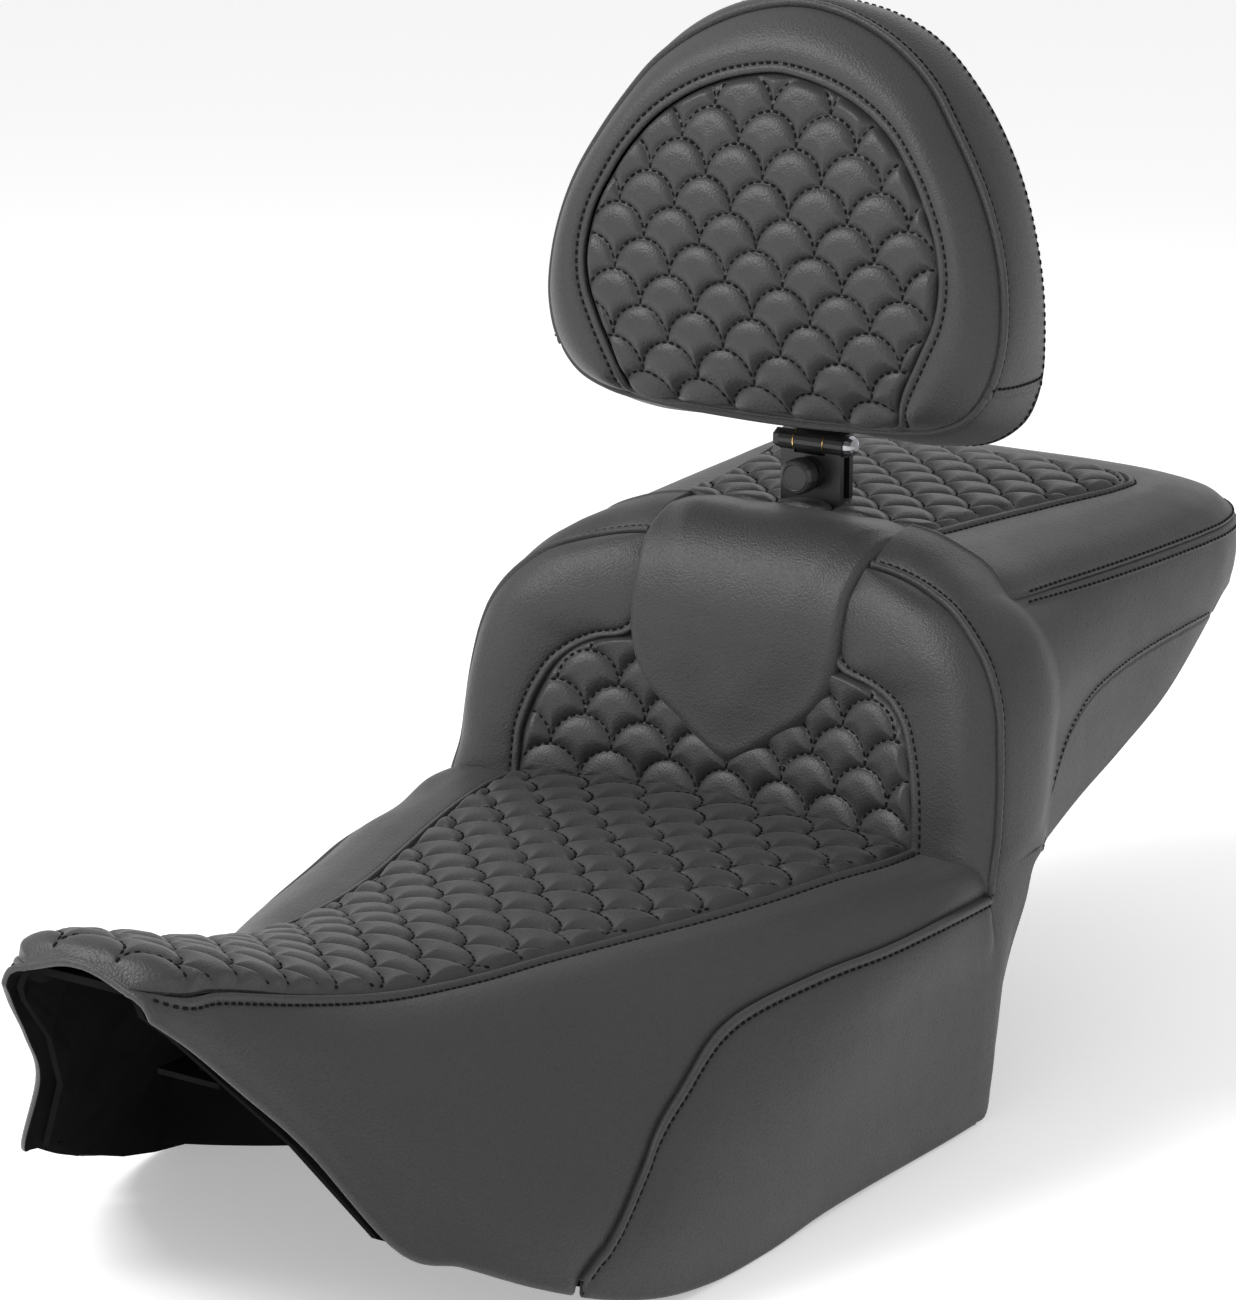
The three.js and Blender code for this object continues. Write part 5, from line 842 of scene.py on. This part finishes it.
# rear cover
P2, de = polar(push(ra, -0.9)[::2], (0, cz), [0, 0.8, 1.8, 3.2, 5, 8], 16, 260)
P = np.stack([P2[..., 0], np.full(P2.shape[:2], PAD_BACK_Y + 1.2), P2[..., 1]], -1)
h = 2.0 * np.sqrt(np.clip(1 - (1 - np.clip(de / 9, 0, 1)) ** 2, 0, 1)) - 0.6 * np.exp(-((de - 6.0) / 1.0) ** 2)
Dr, Nr, _ = polar_panel("backrest_rear_panel", P, h, (0, 1, 0, 0), M["rear"], "backrest", ["backrest_rear_cover", "backrest_board"], "leather_rear", tuck=3.0)
ST.line("backrest_rear_seam", Dr[4], Nr[4], closed=True)

# ------------------------------------------------------------------ rolled lip round the front opening, and its black inner edge
E, n, T = (np.concatenate([x[i] for x in LIP]) for i in range(3))
m = np.array([-1.0, 1, 1])
E, n, T = (np.concatenate([x, x[::-1][1:] * m]) for x in (E, n, T))
s = arc(E); keep = np.concatenate([[True], np.diff(s) > 1e-4]); E, n, T, s = E[keep], n[keep], T[keep], s[keep]
at = np.linspace(0, s[-1], 420)
E, n, T = (np.stack([np.interp(at, s, A[:, c]) for c in range(3)], 1) for A in (E, n, T))
n, T = unit(averaged(n, 5)), unit(averaged(T, 7))
d = unit(np.gradient(averaged(E, 3), axis=0)); C = np.cross(d, n); C *= np.sign((C * T).sum(1, keepdims=True)); T = unit(averaged(unit(C), 4))
n = unit(n - T * (n * T).sum(1, keepdims=True))
def roll_rows(E, n, T, r, grow, angles, back=()):
    c = E - n * r; rows = []
    for th in angles:
        t = math.radians(th); q = n * math.cos(t) + T * math.sin(t); rows.append((c + q * (r + grow), q))
    for k in back: rows.append((c - n * (r + grow + 0.8 * k) - T * k, -n))
    return rows
sk = Skin(); sk.quads(np.array([sk.points(p, q) for p, q in [(E - T * 1.2 - n * 0.35, n), (E - T * 0.1 + n * 0.02, n)] + roll_rows(E, n, T, 2.2, 0, (12, 25, 40, 55, 70, 85, 100, 118, 134))]))
sk.make("nose_lip_roll", M["smooth"], "seat", (), "leather_smooth", 1.0)
sk = Skin(); sk.quads(np.array([sk.points(p, q) for p, q in roll_rows(E, n, T, 2.2, 0.06, (126, 136, 148, 162, 178), (3, 7, 12))]))
sk.make("nose_inner_edge", M["pan"], "seat", (), "pan_plastic", 1.0)

# black wall of the pan behind the opening
U = spline([[150, -404, -105], [168, -372, -122], [172, -345, -132], [165, -318, -139], [140, -290, -144], [110, -270, -144], [60, -245, -137], [0, -232, -131]], 70)
U = np.vstack([U * [-1, 1, 1], U[::-1][1:]])
def inside(u, z):
    q = at_u(u[1], np.linspace(1, 7, 60)); return math.copysign(min(abs(u[0]), float(np.interp(z, q[::-1, 1], q[::-1, 0])) - 14), u[0])
P = np.array([[(inside(u, u[2] * (1 - t) - 46 * t), u[1], u[2] * (1 - t) - 46 * t) for t in (0, 0.03, 0.08, 0.2, 0.35, 0.5, 0.65, 0.8, 1.0)] for u in U])
panel("pan_inner_wall", P, np.zeros(P.shape[:2]), (0, 300, -60), M["pan"], "seat", (), "pan_plastic", {"b0": "hem"}, thick=2.0, r=1.2)

# ------------------------------------------------------------------ hardware
def lathe(profile, axis, at, n=64, flutes=None):
    """Closed turned piece: profile of (radius, height) starting and ending on the axis."""
    V, F = [], []
    prof = [p for p in profile]
    inner = prof[1:-1]
    for r, hgt in inner:
        for i in range(n):
            a = 2 * math.pi * i / n
            rr_ = r if flutes is None else flutes(r, hgt, a)
            V.append((rr_ * math.cos(a), rr_ * math.sin(a), hgt))
    V.append((0, 0, prof[0][1])); V.append((0, 0, prof[-1][1]))
    m = len(inner)
    for k in range(m - 1):
        for i in range(n): F.append([k * n + i, k * n + (i + 1) % n, (k + 1) * n + (i + 1) % n, (k + 1) * n + i])
    a0, a1 = len(V) - 2, len(V) - 1
    for i in range(n):
        F.append([a0, (i + 1) % n, i]); F.append([a1, (m - 1) * n + i, (m - 1) * n + (i + 1) % n])
    V = np.array(V)
    if axis == "x": V = V[:, [2, 0, 1]]
    elif axis == "y": V = np.stack([V[:, 1], V[:, 2], V[:, 0]], 1)
    return V + np.array(at, float), F
def sharp(o, angle=35):
    me = o.data
    me.polygons.foreach_set("use_smooth", [True] * len(me.polygons))
    try: me.set_sharp_from_angle(angle=math.radians(angle))
    except AttributeError: pass
def bevelled(o, w, seg=3, angle=30):
    b = o.modifiers.new("edge", "BEVEL"); b.width = w / 1000; b.segments = seg; b.limit_method = "ANGLE"; b.angle_limit = math.radians(angle)
    return o
for n_, o_ in frame["nodes"].items():
    mats = {"pan_plastic": "pan", "black_steel": "steel", "bright_steel": "bright", "brass": "brass", "knob_plastic": "knob", "rubber": "rubber", "foam": "foam"}
    slot_ = next(s["material_slot"] for s in frame["record"]["subparts"] if s["node"] == n_)
    if slot_ in mats:
        o_.data.materials.clear(); o_.data.materials.append(M[mats[slot_]])
        sharp(o_, 40)
for n_ in ("front_tongue", "tongue_rivet_left", "tongue_rivet_right"):
    frame["nodes"][n_].data.materials.clear(); frame["nodes"][n_].data.materials.append(M["pan"] if n_ == "front_tongue" else M["steel"])
for n_ in ("post_blade", "hinge_leaf", "receiver_socket", "seat_pan", "front_tongue", "rear_tab"):
    bevelled(frame["nodes"][n_], 0.5 if n_ != "seat_pan" else 1.0, 2, 40)

# raised rim and shallow face on the hand wheel
kv = np.array([np.array(frame["nodes"]["adjuster_knob"].matrix_world @ v.co) * 1000 - SHIFT for v in frame["nodes"]["adjuster_knob"].data.vertices])
front = kv[kv[:, 1] < kv[:, 1].min() + 0.6]
kx, kz, ky, kr = (front[:, 0].min() + front[:, 0].max()) / 2, (front[:, 2].min() + front[:, 2].max()) / 2, kv[:, 1].min(), (front[:, 0].max() - front[:, 0].min()) / 2
V, F = lathe([(0, -0.35), (kr * 0.55, -0.3), (kr - 2.1, -0.2), (kr - 1.8, -0.55), (kr - 1.3, -0.75), (kr - 0.8, -0.6), (kr - 0.4, -0.1), (kr - 0.4, 0.4), (0, 0.4)], "y", (kx, ky, kz))
sharp(add_mesh("knob_face_rim", V, F, M["knob"], "knob", ()), 50)

ST.make({
    "rider": ("rider_quilt_stitches", "seat", {}),
    "lumbar": ("lumbar_quilt_stitches", "seat", {}),
    "passenger": ("passenger_quilt_stitches", "seat", {}),
    "backrest": ("backrest_quilt_stitches", "backrest", {}),
    "rider_seam": ("rider_seam_stitches", "seat", {}),
    "side_seam": ("side_seam_stitches", "seat", {}),
    "lower_seam": ("lower_seam_stitches", "seat", dict(rad=0.5, length=2.6)),
    "lumbar_seam": ("lumbar_seam_stitches", "seat", {}),
    "passenger_seam": ("passenger_seam_stitches", "seat", {}),
    "passenger_quilt_seam": ("passenger_quilt_seam_stitches", "seat", {}),
    "backrest_quilt_seam": ("backrest_quilt_seam_stitches", "backrest", {}),
    "backrest_seam": ("backrest_seam_stitches", "backrest", {}),
    "backrest_join": ("backrest_join_stitches", "backrest", {}),
    "backrest_rear_seam": ("backrest_rear_seam_stitches", "backrest", {}),
})

# ------------------------------------------------------------------ floor, light, camera
def stage_mesh(name, V, F, mat):
    me = bpy.data.meshes.new(name); me.from_pydata(V, [], F); me.update(); me.materials.append(mat)
    o = bpy.data.objects.new(name, me); bpy.context.scene.collection.objects.link(o); return o
floor_mat, nt, b = new_mat("studio_floor")
nz = node(nt, "ShaderNodeTexNoise", Scale=3.0, Detail=2.0); rp = ramp(nt, nz.outputs["Fac"], [(0.3, (0.86, 0.86, 0.86)), (0.7, (0.90, 0.90, 0.90))])
nt.links.new(rp.outputs[0], b.inputs["Base Color"]); b.inputs["Roughness"].default_value = 0.9; b.inputs["Emission Color"].default_value = (1, 1, 1, 1); b.inputs["Emission Strength"].default_value = 0.36
zf = -0.1035
stage_mesh("studio_floor_plane", [(-25, -25, zf), (25, -25, zf), (25, 25, zf), (-25, 25, zf)], [[0, 1, 2, 3]], floor_mat)
world = bpy.data.worlds.new("studio"); bpy.context.scene.world = world; world.use_nodes = True
wt = world.node_tree; bg = wt.nodes["Background"]; bg.inputs[0].default_value = (1, 1, 1, 1)
seen = wt.nodes.new("ShaderNodeLightPath"); level = wt.nodes.new("ShaderNodeMapRange")
level.inputs["To Min"].default_value = 0.62; level.inputs["To Max"].default_value = 1.02  # what lights the seat, and what the camera sees behind it
wt.links.new(seen.outputs["Is Camera Ray"], level.inputs["Value"]); wt.links.new(level.outputs[0], bg.inputs[1])
def area(name, loc, target, size, power, size_y=None):
    l = bpy.data.lights.new(name, "AREA"); l.energy = power; l.size = size
    if size_y: l.shape = "RECTANGLE"; l.size_y = size_y
    o = bpy.data.objects.new(name, l); bpy.context.scene.collection.objects.link(o); o.location = loc
    o.rotation_euler = (Vector(target) - Vector(loc)).to_track_quat("-Z", "Y").to_euler(); return o
T0 = (0, 0.05, 0.18)
area("key", (-1.5, -1.5, 2.2), T0, 1.2, 55)
area("fill", (2.4, -1.2, 1.2), T0, 1.6, 9)
area("rim", (-0.6, 2.2, 1.7), T0, 1.4, 6)
area("front", (-0.2, -2.8, 0.35), T0, 1.5, 14)
target = Vector((0, 0.013, 0.175)); az, el, dist = math.radians(34.5), math.radians(15), 2.376
cam = bpy.data.objects.new("camera", bpy.data.cameras.new("camera")); bpy.context.scene.collection.objects.link(cam)
back = Vector((math.sin(az) * math.cos(el), -math.cos(az) * math.cos(el), math.sin(el)))
cam.location = target + back * dist; cam.rotation_euler = (-back).to_track_quat("-Z", "Y").to_euler()
cam.data.lens = 116.3; cam.data.sensor_width = 36; cam.data.clip_end = 50; cam.data.clip_start = 0.05
bpy.context.scene.camera = cam
bpy.context.scene.view_settings.view_transform = "Standard"
